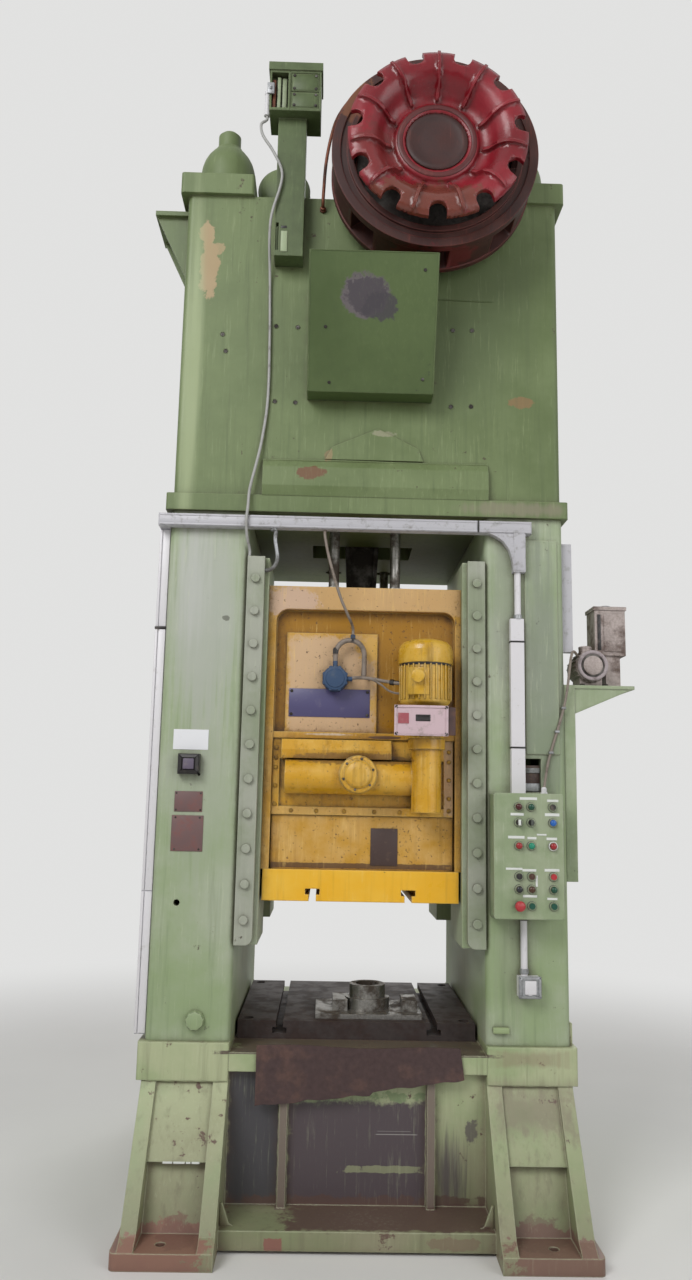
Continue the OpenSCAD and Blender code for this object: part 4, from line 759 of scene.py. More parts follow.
def pick_front(piece: Piece) -> None:
    """Selects the faces that face the front.

    Args:
        piece: The piece, in edit mode.
    """
    mesh = bmesh.from_edit_mesh(piece.data)
    for face in mesh.faces:
        face.select_set(face.normal.y < FACING)
    bmesh.update_edit_mesh(piece.data)


def turn_outwards() -> None:
    """Points every face of the piece in edit mode outwards."""
    bpy.ops.mesh.select_all(action="SELECT")
    bpy.ops.mesh.normals_make_consistent(inside=False)


def curve_through(places: list[Point], per_span: int) -> list[Vector]:
    """A smooth curve through points, as the construction draws its cords.

    Args:
        places: The points in millimetres.
        per_span: Points between two places.

    Returns:
        The points of the curve in metres.
    """
    knots = [Vector(mm(*place)) for place in places]
    line = []
    for i, (start, end) in enumerate(zip(knots, knots[1:])):
        before, after = knots[max(i - 1, 0)], knots[min(i + 2, len(knots) - 1)]
        for step in range(per_span):
            t = step / per_span
            line.append(0.5 * (2 * start + (end - before) * t + (2 * before - 5 * start + 4 * end - after) * t ** 2
                               + (3 * start - before - 3 * end + after) * t ** 3))
    return line + [knots[-1]]


@dataclass
class Assembly:
    """A sub-assembly: how its pieces are modelled, dressed and mounted on their bodies.

    Args:
        shop: Gives each finish its material.
    """

    shop: PaintShop

    def apply(self, piece: Piece, kind: str, **settings: object) -> None:
        """Puts a modifier on a piece and applies it.

        Args:
            piece: The piece.
            kind: The modifier's type.
            settings: The modifier's settings.
        """
        modifier = piece.modifiers.new(kind.lower(), kind)
        for name, value in settings.items():
            setattr(modifier, name, value)
        only(piece)
        bpy.ops.object.modifier_apply(modifier=modifier.name)

    def settle(self, piece: Piece) -> Piece:
        """Puts the piece's place into its mesh.

        Args:
            piece: The piece.

        Returns:
            The same piece.
        """
        only(piece)
        bpy.ops.object.transform_apply(location=True, rotation=True, scale=True)
        return piece

    def again(self, piece: Piece) -> Piece:
        """A copy of the piece with its own mesh.

        Args:
            piece: The piece.

        Returns:
            The copy.
        """
        only(piece)
        bpy.ops.object.duplicate(linked=False)
        return bpy.context.object

    def block(self, low: Point, high: Point, edge: float = 1.0, steps: int = 2) -> Piece:
        """A block with rounded edges.

        Args:
            low: Its lowest corner in millimetres.
            high: Its highest corner in millimetres.
            edge: Radius of its edges in millimetres.
            steps: Segments of each edge.

        Returns:
            The block.
        """
        bpy.ops.object.select_all(action="DESELECT")
        middle = [(a + b) / 2 for a, b in zip(low, high)]
        size = [b - a for a, b in zip(low, high)]
        bpy.ops.mesh.primitive_cube_add(size=1.0, location=mm(*middle), scale=mm(*size))
        made = self.settle(bpy.context.object)
        self.apply(made, "BEVEL", width=edge * MM, segments=steps, limit_method="NONE")
        return made

    def sink_front(self, piece: Piece, border: float, wall: float, depth: float) -> None:
        """Sinks the front of a piece behind a border.

        Args:
            piece: The piece.
            border: Width of the border in millimetres.
            wall: Width of the wall inside it in millimetres.
            depth: How deep the front sinks in millimetres.
        """
        with shaping(piece):
            pick_front(piece)
            bpy.ops.mesh.inset(thickness=border * MM, depth=0)
            bpy.ops.mesh.inset(thickness=wall * MM, depth=-depth * MM)

    def turned(self, foot: Point, axis: Point, rings: Rings, sides: int = 32) -> Piece:
        """A turned piece: a disc drawn out ring by ring along its axis.

        Args:
            foot: The start of its axis in millimetres.
            axis: The direction of its axis.
            rings: Radius and distance from the foot of each ring, in millimetres.
            sides: Sides of its outline.

        Returns:
            The turned piece.
        """
        bpy.ops.object.select_all(action="DESELECT")
        along = Vector(axis).normalized()
        middle = Vector(mm(*foot))
        radius, reach = rings[0]
        bpy.ops.mesh.primitive_circle_add(
            vertices=sides, radius=radius * MM, fill_type="NGON", location=middle + along * reach * MM,
            rotation=along.to_track_quat("Z", "Y").to_euler())
        made = self.settle(bpy.context.object)
        with shaping(made):
            bpy.ops.mesh.select_all(action="SELECT")
            for wide, far in rings[1:]:
                bpy.ops.mesh.extrude_region_move(TRANSFORM_OT_translate={"value": along * (far - reach) * MM})
                ratio = wide / radius
                bpy.ops.transform.resize(value=(ratio, ratio, ratio), center_override=middle + along * far * MM)
                radius, reach = wide, far
            turn_outwards()
        return made

    def tube(self, places: list[Point], radius: float, sides: int = 10, per_span: int = 6,
             smooth: bool = True) -> Piece:
        """A round pipe, wire or bead along a line, as a closed mesh.

        Args:
            places: The points of its line in millimetres.
            radius: Its radius in millimetres.
            sides: Sides of its outline.
            per_span: Points between two places.
            smooth: Whether the line curves through the places.

        Returns:
            The tube.
        """
        line = curve_through(places, per_span) if smooth else [Vector(mm(*place)) for place in places]
        data = bpy.data.curves.new("line", "CURVE")
        data.dimensions = "3D"
        data.bevel_depth = radius * MM
        data.bevel_resolution = max(0, sides // 2 - 2) // 2
        data.use_fill_caps = True
        spline = data.splines.new("POLY")
        spline.points.add(len(line) - 1)
        for point, place in zip(spline.points, line):
            point.co = (*place, 1.0)
        made = bpy.data.objects.new("tube", data)
        bpy.context.scene.collection.objects.link(made)
        only(made)
        bpy.ops.object.convert(target="MESH")
        with shaping(made):
            bpy.ops.mesh.select_all(action="SELECT")
            bpy.ops.mesh.remove_doubles(threshold=BEAD_GAP)
            turn_outwards()
        return made

    def ring_of(self, piece: Piece, middle: Point, axis: Point, count: int, first: float = 0.0) -> Piece:
        """The piece repeated round an axis, joined into one.

        Args:
            piece: The piece that is repeated.
            middle: A point of the axis in millimetres.
            axis: The direction of the axis.
            count: How many stand in the ring.
            first: Degrees by which the whole ring is turned.

        Returns:
            The ring as one piece.
        """
        row = []
        centre = Matrix.Translation(mm(*middle))
        for index in range(count):
            copy = self.again(piece)
            turn = Matrix.Rotation(math.radians(first + 360 * index / count), 4, Vector(axis))
            copy.matrix_world = centre @ turn @ centre.inverted()
            row.append(self.settle(copy))
        bpy.data.objects.remove(piece)
        return self.joined(*row)

    def plate(self, outline: Rings, front: float, rear: float, edge: float = 1.0) -> Piece:
        """A plate of any outline, facing the front.

        Args:
            outline: Its corners as X and Z in millimetres, in order round it.
            front: Y of its front in millimetres.
            rear: Y of its rear in millimetres.
            edge: Radius of its edges in millimetres.

        Returns:
            The plate.
        """
        bpy.ops.object.select_all(action="DESELECT")
        bpy.ops.mesh.primitive_circle_add(vertices=len(outline), radius=1.0, fill_type="NGON")
        made = bpy.context.object
        for vertex, (x, z) in zip(made.data.vertices, outline):
            vertex.co = mm(x, rear, z)
        with shaping(made):
            bpy.ops.mesh.select_all(action="SELECT")
            bpy.ops.mesh.extrude_region_move(TRANSFORM_OT_translate={"value": mm(0, front - rear, 0)})
            turn_outwards()
        self.apply(made, "BEVEL", width=edge * MM, segments=2, limit_method="ANGLE")
        return made

    def hoop(self, middle: Point, radius: float, thick: float, reach: float, sides: int = 48) -> Piece:
        """A round ring that faces the front.

        Args:
            middle: Its middle in millimetres.
            radius: Radius of its middle line in millimetres.
            thick: How wide its section is across the axis, in millimetres.
            reach: How long its section is along the axis, in millimetres.
            sides: Sides of its outline.

        Returns:
            The ring.
        """
        bpy.ops.object.select_all(action="DESELECT")
        bpy.ops.mesh.primitive_torus_add(
            major_radius=radius * MM, minor_radius=thick * MM / 2, major_segments=sides, minor_segments=10,
            location=mm(*middle), rotation=Vector(REAR).to_track_quat("Z", "Y").to_euler())
        made = self.settle(bpy.context.object)
        with shaping(made):
            bpy.ops.mesh.select_all(action="SELECT")
            bpy.ops.transform.resize(value=(1.0, reach / thick, 1.0), center_override=mm(*middle))
        return made

    def studs(self, places: list[Point], axis: Point, rings: Rings = SCREW_HEAD, sides: int = 14) -> Piece:
        """The same turned piece at each place, such as a row of screws, joined into one.

        Args:
            places: The foot of each, in millimetres.
            axis: The direction that they point.
            rings: Radius and distance of each ring of one piece.
            sides: Sides of its outline.

        Returns:
            All of them as one piece.
        """
        row = [self.turned(places[0], axis, rings, sides)]
        for place in places[1:]:
            copy = self.again(row[0])
            copy.location = mm(*(b - a for a, b in zip(places[0], place)))
            row.append(copy)
        return self.joined(*row)

    def joined(self, *pieces: Piece) -> Piece:
        """Several pieces as one mesh.

        Args:
            pieces: The pieces.

        Returns:
            The first piece, with the others in it.
        """
        for piece in pieces:
            self.settle(piece)
        only(*pieces)
        if len(pieces) > 1:
            bpy.ops.object.join()
        return bpy.context.view_layer.objects.active

    def mount(self, piece: Piece | list[Piece], name: str, finish: Finish, body: str = "frame",
              smooth: float = EVEN) -> Piece:
        """Names, dresses and mounts a finished piece.

        Args:
            piece: The finished piece, or several that are joined into it.
            name: Its name.
            finish: Its finish.
            body: The body that it rides on.
            smooth: The angle in degrees below which its faces are smooth.

        Returns:
            The piece.
        """
        whole = self.joined(*piece) if isinstance(piece, list) else self.settle(piece)
        bpy.ops.object.shade_smooth_by_angle(angle=math.radians(smooth))
        whole.name = whole.data.name = name
        self.shop.dress(whole, finish)
        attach(whole, body)
        LOG.info("mounted %s on %s", name, body)
        return whole


@dataclass
class Cords(Assembly):
    """The two free cords: one down the crown, one from the trunking to the slide.

    Args:
        radius: Radius of both sheaths in millimetres.
        crown_places: The points down the crown, as the construction has them.
        slide_places: The points from the trunking to the slide.
        parting: The point at which the cord to the slide is cut in two.
    """

    radius: float = 6.0
    crown_places: tuple[Point, ...] = (
        (-462, -710, 4423.7), (-462, -711, 4400), (-484, -725, 4368), (-474, -734, 4310), (-430, -734, 4240),
        (-392, -728, 4160), (-392, -724, 4090), (-426, -722, 3955), (-434, -690, 3860), (-430, -634, 3700),
        (-422, -632, 3420), (-422, -632, 3170), (-440, -636, 2995), (-460, -650, 2880), (-480, -658, 2780),
        (-484, -670, 2700), (-488, -674, 2640), (-484, -660, 2580), (-474, -624, 2532), (-474, -623, 2505.3))
    slide_places: tuple[Point, ...] = (
        (-171, -638, 2617.7), (-170, -639, 2590), (-150, -648, 2493), (-105, -650, 2345), (-68, -628, 2265),
        (-52, -586, 2238), (-48, -572, 2221), (-48, -572, 2211), (-48, -572, 2201.3))
    parting: int = 15

    def sheath(self, line: list[Vector], name: str, finish: Finish, replaced: str) -> Piece:
        """A cord's tube, dressed, named and standing for its node.

        Args:
            line: The points of its line in metres.
            name: Its name.
            finish: Its finish.
            replaced: The node that it stands for.

        Returns:
            The tube.
        """
        made = self.tube([tuple(METRE * c for c in place) for place in line], self.radius, 12, smooth=False)
        self.settle(made)
        bpy.ops.object.shade_smooth_by_angle(angle=math.radians(SOFT))
        made.name = made.data.name = name
        self.shop.dress(made, finish)
        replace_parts(made, replaced)
        LOG.info("hung %s", name)
        return made

    def declare(self, piece: Piece, line: list[Vector], lay: str) -> None:
        """Takes a cord and does nothing with it.

        Args:
            piece: The cord's tube. Not used.
            line: The points of its line in metres. Not used.
            lay: How it lies. Not used.
        """

    def build(self) -> None:
        """Makes both cords; the one to the slide in two halves."""
        line = curve_through(list(self.crown_places), 4)
        crown = self.sheath(line, "crown_cord_sheath", CORD_GREY, "crown_cord")
        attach(crown, "frame")
        self.declare(crown, line, "loose")
        line = curve_through(list(self.slide_places), 5)
        for half, name, start, end in ((line[:self.parting + 1], "slide_cord_upper", "frame", "connection"),
                                       (line[self.parting:], "slide_cord_lower", "connection", "slide")):
            piece = self.sheath(half, name, CORD_DARK, "slide_cord")
            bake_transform(piece)
            self.declare(piece, half, "hanging")


@dataclass
class SlideTrim(Assembly):
    """Plates, junction, cables and motor parts on the front of the slide.

    Args:
        pad_front: Y of the raised pad, in millimetres as all that follow.
        lower_front: Y of the lower part of the slide.
        flange_front: Y of the adjusting housing's flange.
        junction: X and Z of the round junction.
        neck_y: Y of the middle of the goose neck.
        bend: Radius of the goose neck's arch.
        motor: X and Y of the motor's axis.
        cap: X and Z of the housing's round cap.
    """

    pad_front: float = -530.0
    lower_front: float = -535.0
    flange_front: float = -545.0
    junction: tuple[float, float] = (-117.0, 2021.0)
    neck_y: float = -572.0
    bend: float = 58.0
    motor: tuple[float, float] = (240.0, -640.0)
    cap: tuple[float, float] = (-20.0, 1639.0)

    def rating_plate(self) -> None:
        """The blue plate on the raised pad, with four corner screws."""
        y = self.pad_front
        self.mount(self.block((-301, y - 2.5, 1869), (26, y + 0.5, 1983), 0.8), "rating_plate", BLUE_ENAMEL, "slide")
        corners = [(x, y - 2, z) for x in (-291, 16) for z in (1879, 1973)]
        self.mount(self.studs(corners, FRONT), "rating_plate_screws", DARK_STEEL, "slide")

    def junction_lid(self) -> None:
        """Lid, ears, screws and gland of the round junction."""
        x, z = self.junction
        lid = self.turned((x, -582, z), FRONT, [(49, 0), (49, 6), (46, 9), (38, 10), (36, 13), (10, 14)], 48)
        ear = self.turned((x + 45, -560, z), FRONT, [(9, 0), (9, 27), (7.5, 29), (3, 29.5)], 16)
        ears = self.ring_of(ear, (x, 0, z), REAR, 8, 22.5)
        self.mount([lid, ears], "junction_lid", JUNCTION_BLUE, "slide")
        gland = self.turned((x, self.neck_y, z + 66), UP, [(9, 0), (9, 34), (13, 35), (13, 52), (9, 60)], HEX)
        self.mount(gland, "junction_gland", DARK_PLASTIC, "slide", CRISP)

    def cables(self) -> None:
        """The flexible conduit over the pad and the cables to the motor."""
        y = self.neck_y
        left, right = self.junction[0], self.junction[0] + 2 * self.bend
        arch = [(left + self.bend - self.bend * math.cos(turn), y, 2121 + self.bend * math.sin(turn))
                for turn in (math.pi * step / 12 for step in range(13))]
        neck = self.tube([(left, y, 2092), *arch, (right, y, 2034)], 10.4, 16, smooth=False)
        foot = self.tube([(right, y, 2046), (right, -528, 2046)], 9.6, 14, smooth=False)
        self.mount([neck, foot], "goose_neck", CORD_DARK, "slide", SOFT)
        inlet = self.turned((-48, y, 2172), UP, [(13, 0), (13, 13), (11, 15), (11, 29), (8.5, 30)], HEX)
        self.mount(inlet, "cord_gland", DARK_PLASTIC, "slide", CRISP)
        feed = self.tube([(-60, y, 2022), (-20, -580, 2026), (30, -592, 2021), (80, -612, 2010), (126, -636, 2001),
                          (146, -640, 1999)], 7, 12)
        branch = self.tube([(26, -594, 2020), (60, -606, 2001), (96, -622, 1972), (124, -636, 1961),
                            (146, -640, 1960)], 4.5)
        self.mount([feed, branch], "motor_cable", CORD_DARK, "slide")
        gland = self.turned((100, -622, 2006), (1, -0.4, -0.14), [(8, 0), (12, 2), (12, 18), (9, 20), (9, 40)], HEX)
        self.mount(gland, "motor_gland", DARK_PLASTIC, "slide", CRISP)

    def motor_fins(self) -> None:
        """Cooling fins and the dark joint under the cowl."""
        x, y = self.motor
        fin = self.block((x + 94, y - 2.5, 1932), (x + 104, y + 2.5, 2070))
        self.mount(self.ring_of(fin, (x, y, 0), UP, 28, 6), "motor_fins", MOTOR_YELLOW, "slide")
        joint = self.turned((x, y, 2066), UP, [(101, 0), (102, 4), (102, 9), (98, 10)], 48)
        self.mount(joint, "motor_joint", DARK_PLASTIC, "slide")

    def counter_label(self) -> None:
        """The counter's framed face, its dark window and its corner screws."""
        face = self.block((110.5, -760, 1787), (317, -757.5, 1903.5), 0.8)
        self.sink_front(face, 9, 2, 1.5)
        self.mount(face, "counter_face", PALE_ENAMEL, "slide")
        window = self.block((192, -761.5, 1843), (248, -757, 1868), 1.2)
        self.sink_front(window, 4, 1, 2)
        self.mount(window, "counter_window", DARK_PLASTIC, "slide")
        corners = [(x, -759, z) for x in (119, 309) for z in (1795, 1896)]
        self.mount(self.studs(corners, FRONT), "counter_screws", DARK_STEEL, "slide")
        self.mount(self.block((125, -760.8, 1833), (166, -759, 1873), 0.3, 1), "counter_patch", RED_PRINT, "slide")

    def lower_plate(self) -> None:
        """The dark plate on the lower part of the slide."""
        y = self.lower_front
        self.mount(self.block((38, y - 3, 1288), (144, y + 0.5, 1432)), "slide_lower_plate", DARK_ENAMEL, "slide")

    def housing_screws(self) -> None:
        """Screws in the flange of the adjusting housing, and small ones round its cap."""
        y = self.flange_front
        places = [(-345, y, z) for z in (1741, 1702, 1664, 1592, 1520)]
        places += [(346, y, z) for z in (1737, 1697, 1625, 1553, 1505)]
        places += [(x, y, 1496) for x in (-280, -180, -70, 50, 150)]
        heads = self.studs(places, FRONT, [(8, -0.5), (8, 3), (6, 5), (2, 5.2)], 12)
        self.mount(heads, "housing_screws", SCREW_YELLOW, "slide")
        x, z = self.cap
        screw = self.turned((x, -689, z + 60), FRONT, [(4.5, 0), (4.5, 3), (3, 4)], 12)
        self.mount(self.ring_of(screw, (x, 0, z), REAR, 6, 12), "cap_screws", DARK_STEEL, "slide")

    def build(self) -> None:
        """Builds the trim of the slide."""
        for make in (self.rating_plate, self.junction_lid, self.cables, self.motor_fins, self.counter_label,
                     self.lower_plate, self.housing_screws):
            make()


@dataclass
class ControlTrim(Assembly):
    """Label strips, button rings and lenses of the control box.

    Args:
        front: Y of the door's front in millimetres.
        labels: Left, right, bottom and top of each label strip.
        columns: X of the columns of controls.
        rows: Z of the rows of controls.
        lamps: The lens of each lamp, by row and column.
    """

    front: float = -741.0
    labels: tuple[tuple[float, float, float, float], ...] = (
        (590, 656, 1555, 1565), (694, 737, 1549, 1558), (555, 605, 1496, 1506), (685, 740, 1496, 1507),
        (545, 607, 1411, 1421), (618, 652, 1409, 1418), (654, 690, 1424, 1430), (690, 730, 1407, 1417),
        (536, 598, 1296, 1304), (598, 650, 1291, 1300), (681, 737, 1292, 1302), (647, 655, 1236, 1277),
        (599, 652, 1197, 1206), (690, 728, 1189, 1197))
    columns: tuple[float, ...] = (585, 632, 714)
    rows: tuple[float, ...] = (1529, 1471, 1385, 1273, 1226, 1166)
    lamps: dict[tuple[int, int], Finish] = field(default_factory=lambda: {
        (0, 0): LENS_MAROON, (0, 1): LENS_GREEN, (1, 2): LENS_BLUE, (2, 0): LENS_RED, (2, 1): LENS_TEAL,
        (2, 2): LENS_RED, (4, 0): LENS_SMOKE, (4, 1): LENS_AMBER, (4, 2): LENS_GREEN})

    def label_strips(self) -> None:
        """Bare pale strips over the controls."""
        y = self.front
        strips = [self.block((x0, y - 1.2, z0), (x1, y + 0.5, z1), 0.4, 1) for x0, x1, z0, z1 in self.labels]
        self.mount(strips, "control_labels", LABEL_WHITE, "door")

    def collars(self) -> None:
        """A ring round each control."""
        rings = [(17.5, -0.5), (17.5, 3), (16, 5.5), (14.5, 5.8)]
        collars = [self.turned((x, self.front, z), FRONT, rings, 24) for z in self.rows for x in self.columns]
        self.mount(collars, "control_collars", COLLAR_GREY, "door")

    def lenses(self) -> None:
        """A coloured lens on each lamp, and the white rim round one of them."""
        for (row, column), finish in self.lamps.items():
            foot = (self.columns[column], -751, self.rows[row])
            lens = self.turned(foot, FRONT, [(12, 0), (12, 4.5), (10, 7.5), (6.5, 9.3), (2, 10)], 24)
            self.mount(lens, f"lens_{row}_{column}", finish, "door", SOFT)
        self.mount(self.hoop((self.columns[2], -747, self.rows[2]), 15.5, 4, 4, 28), "lens_rim", LABEL_WHITE, "door")

    def pointers(self) -> None:
        """The pale pointer on each selector."""
        for column, body, finish in ((0, "selector_left", LABEL_WHITE), (1, "selector_right", COLLAR_GREY)):
            x, z = self.columns[column], self.rows[1]
            bar = self.block((x - 4.8, -768, z - 10.6), (x + 4.8, -761, z + 10.6), 1.5, 3)
            self.mount(bar, f"pointer_{column}", finish, body)

    def build(self) -> None:
        """Builds the trim of the control box."""
        for make in (self.label_strips, self.collars, self.lenses, self.pointers):
            make()


@dataclass
class BrakeTrim(Assembly):
    """Cap and ring in the middle of the star disc, and the pipe that feeds the brake with air.

    Args:
        seat: Y of the seat of the cap in millimetres.
        hub_front: Y of the front of the hub.
    """

    seat: float = -951.5
    hub_front: float = -958.0

    def build(self) -> None:
        """Builds the dusty cap and the red ring, which turn with the shaft, and the copper pipe over the drum."""
        x, z = SHAFT_AXIS
        rings = [(123.5, -2), (123.5, 3), (118, 6.5), (104, 7.5), (102, 6.4), (60, 7.2), (16, 8)]
        self.mount(self.turned((x, self.seat, z), FRONT, rings, 64), "star_cap", CAP_BROWN, "shaft")
        self.mount(self.hoop((x, self.hub_front, z), 149, 24, 9, 64), "star_ring", RING_MAROON, "shaft")
        pipe = self.tube([(-214, -616, 4046), (-214, -650, 4056), (-212, -664, 4110), (-205, -690, 4215),
                          (-187, -700, 4329), (-160, -700, 4429), (-107, -700, 4519), (-44, -700, 4588),
                          (20, -706, 4578), (54, -713, 4540), (64, -713, 4510)], 7, 12)
        union = self.turned((-214, -619, 4046), FRONT, [(15, 0), (15, 9), (11, 10), (11, 20), (8, 22)], HEX)
        self.mount([pipe, union], "brake_air_pipe", PIPE_BROWN, smooth=PIPE)


@dataclass
class ColumnTrim(Assembly):
    """Labels, plates, wiring and channel covers on the two columns.

    Args:
        front: Y of the columns' front in millimetres.
        trunk_front: Y of the trunking's front.
        drop: Left and right side of the conduit down the right column.
        drop_x: X of the thin conduit below the control box.
    """

    front: float = -620.0
    trunk_front: float = -658.0
    drop: tuple[float, float] = (578.0, 632.0)
    drop_x: float = 622.0

    def plates(self) -> None:
        """The bare paper label and the two rusty plates on the left column."""
        y = self.front
        self.mount(self.block((-745, y - 1.4, 1723), (-608, y + 0.5, 1802), 0.4, 1), "column_label", PAPER_LABEL)
        self.mount([self.block((-729, y - 2.5, 1484), (-621, y + 0.5, 1562), 0.8),
                    self.block((-736, y - 2.5, 1334), (-614, y + 0.5, 1470), 0.8)], "column_plates", RUSTY_ENAMEL)
        places = [(x, y - 2, z) for x in (-722, -628) for z in (1342, 1462, 1491, 1555)]
        self.mount(self.studs(places, FRONT, [(4, 0), (4, 1), (2.5, 2)], 10), "plate_rivets", DARK_STEEL)

    def switch(self) -> None:
        """Bezel and button of the switch on the left column."""
        bezel = self.block((-715, -662, 1631), (-638, -657, 1703), 3)
        self.sink_front(bezel, 12, 2, 3)
        self.mount(bezel, "column_switch_bezel", DARK_PLASTIC)
        self.mount(self.block((-698, -667, 1646), (-655, -658, 1688), 4, 3), "column_switch_button", FADED_PLASTIC)

    def bosses(self) -> None:
        """The cut boss on the left column and the lugs at the feet of the right one."""
        boss = self.turned((-613, self.front + 1, 717), FRONT, [(38, 0), (36, 14), (33, 23), (24, 25)], 9)
        self.mount(boss, "column_boss", COLUMN_GREEN, smooth=CRISP)
        self.mount([self.block((503, -640, 688), (566, -619, 711), 5, 3),
                    self.block((799, -592, 640), (813, -556, 722), 4, 3)], "column_lugs", BED_GREEN)

    def hook(self) -> None:
        """The bent rod under the trunking."""
        rod = self.tube([(-378, -640, 2624), (-370, -640, 2606), (-371, -640, 2571), (-360, -640, 2500),
                         (-372, -636, 2462), (-396, -624, 2449), (-416, -616, 2452)], 8, 14)
        nut = self.turned((-378, -640, 2619), DOWN, [(15, 0), (15, 9), (11, 12)], HEX)
        self.mount([rod, nut], "hook_rod", GALVANISED, smooth=40)

    def control_cable(self) -> None:
        """The cable from the lubricator to the control box, clipped to the column."""
        line = [(870, -560, 2136), (842, -598, 2150), (824, -626, 2118), (815, -632, 2060), (805, -630, 1985),
                (790, -629, 1913), (767, -628, 1835), (746, -628, 1769), (727, -630, 1706), (714, -640, 1650),
                (703, -662, 1612), (698, -672, 1586)]
        self.mount(self.tube(line, 5.5, 12), "control_cable", CORD_DARK, smooth=PIPE)
        self.mount([self.block((x - 9, -637, z - 5), (x + 9, -619, z + 5), 2.5, 3)
                    for x, z in ((791, 1917), (763, 1823), (738, 1740))], "cable_clips", GALVANISED)
        gland = self.turned((698, -672, 1577), UP, [(14, -1), (14, 8), (11, 9), (11, 22), (7, 28)], HEX)
        self.mount(gland, "control_gland", CONDUIT_WHITE, smooth=CRISP)

    def opening(self) -> None:
        """The plate and the bright strips inside the opening of the right column."""
        self.mount(self.block((633, -600, 1587), (698, -596, 1690)), "opening_plate", DARK_ENAMEL)
        self.mount([self.block((633, -606, 1660), (698, -599, 1680), 2.0),
                    self.block((633, -604, 1588), (698, -599, 1620), 2.0)], "opening_strips", GALVANISED)

    def trunk_covers(self) -> None:
        """Snap-on covers of the trunking, its concave elbow and its joints."""
        y = self.trunk_front
        covers = [self.block((x0, y - proud, z0), (x1, y + 0.5, z1), 1.5) for x0, x1 in ((-838, 446), (451, 662))
                  for proud, z0, z1 in ((2.5, 2624, 2662), (4.5, 2658, 2666), (4.5, 2620, 2627))]
        elbow = [(488, 2620), (592, 2620), (592, 2470), (587, 2512), (574, 2552), (550, 2586), (520, 2606)]
        covers.append(self.plate(elbow, y + 1, -622, 1.5))
        covers.append(self.block((593, y - 2.5, 2464), (637, y + 0.5, 2622), 1.5))
        self.mount(covers, "trunk_cover_top", TRUNK_GREY)
        sides = [self.block((x0, -604, z0), (x1, -599, z1), edge)
                 for z0, z1 in ((664, 1180), (1184, 2201), (2213, 2612))
                 for x0, x1, edge in ((-841, -832, 1.2), (-829, -801, 1.8))]
        self.mount(sides, "trunk_cover_left", CONDUIT_WHITE)
        clip = self.block((-844, -607, 2202), (-799, -598, 2212), 1.5)
        joint = self.block((445, y - 6, 2619), (452, y + 1, 2667), 1.2)
        left, right = self.drop
        bands = [self.block((left - 2, -652, z), (right + 2, -619, z + 7), 1.2) for z in (1753, 2173)]
        self.mount([clip, joint, *bands], "trunk_clips", DARK_PLASTIC)

    def conduit_ends(self) -> None:
        """Cuffs of the conduits, and the rim and plug of the socket below."""
        places = [(610, -636, 2268), (self.drop_x, -638, 1102), (self.drop_x, -638, 908)]
        self.mount(self.studs(places, UP, [(17, 0), (17, 16), (15, 18)], 24), "conduit_cuffs", GALVANISED)
        rim = self.block((594, -674, 822), (680, -668, 903), 5, 3)
        self.sink_front(rim, 12, 2, 3)
        self.mount(rim, "socket_rim", GALVANISED)
        self.mount(self.block((616, -682, 838), (660, -669, 888), 4, 3), "socket_plug", CONDUIT_WHITE)

    def build(self) -> None:
        """Builds the trim of the columns."""
        for make in (self.plates, self.switch, self.bosses, self.hook, self.control_cable, self.opening,
                     self.trunk_covers, self.conduit_ends):
            make()


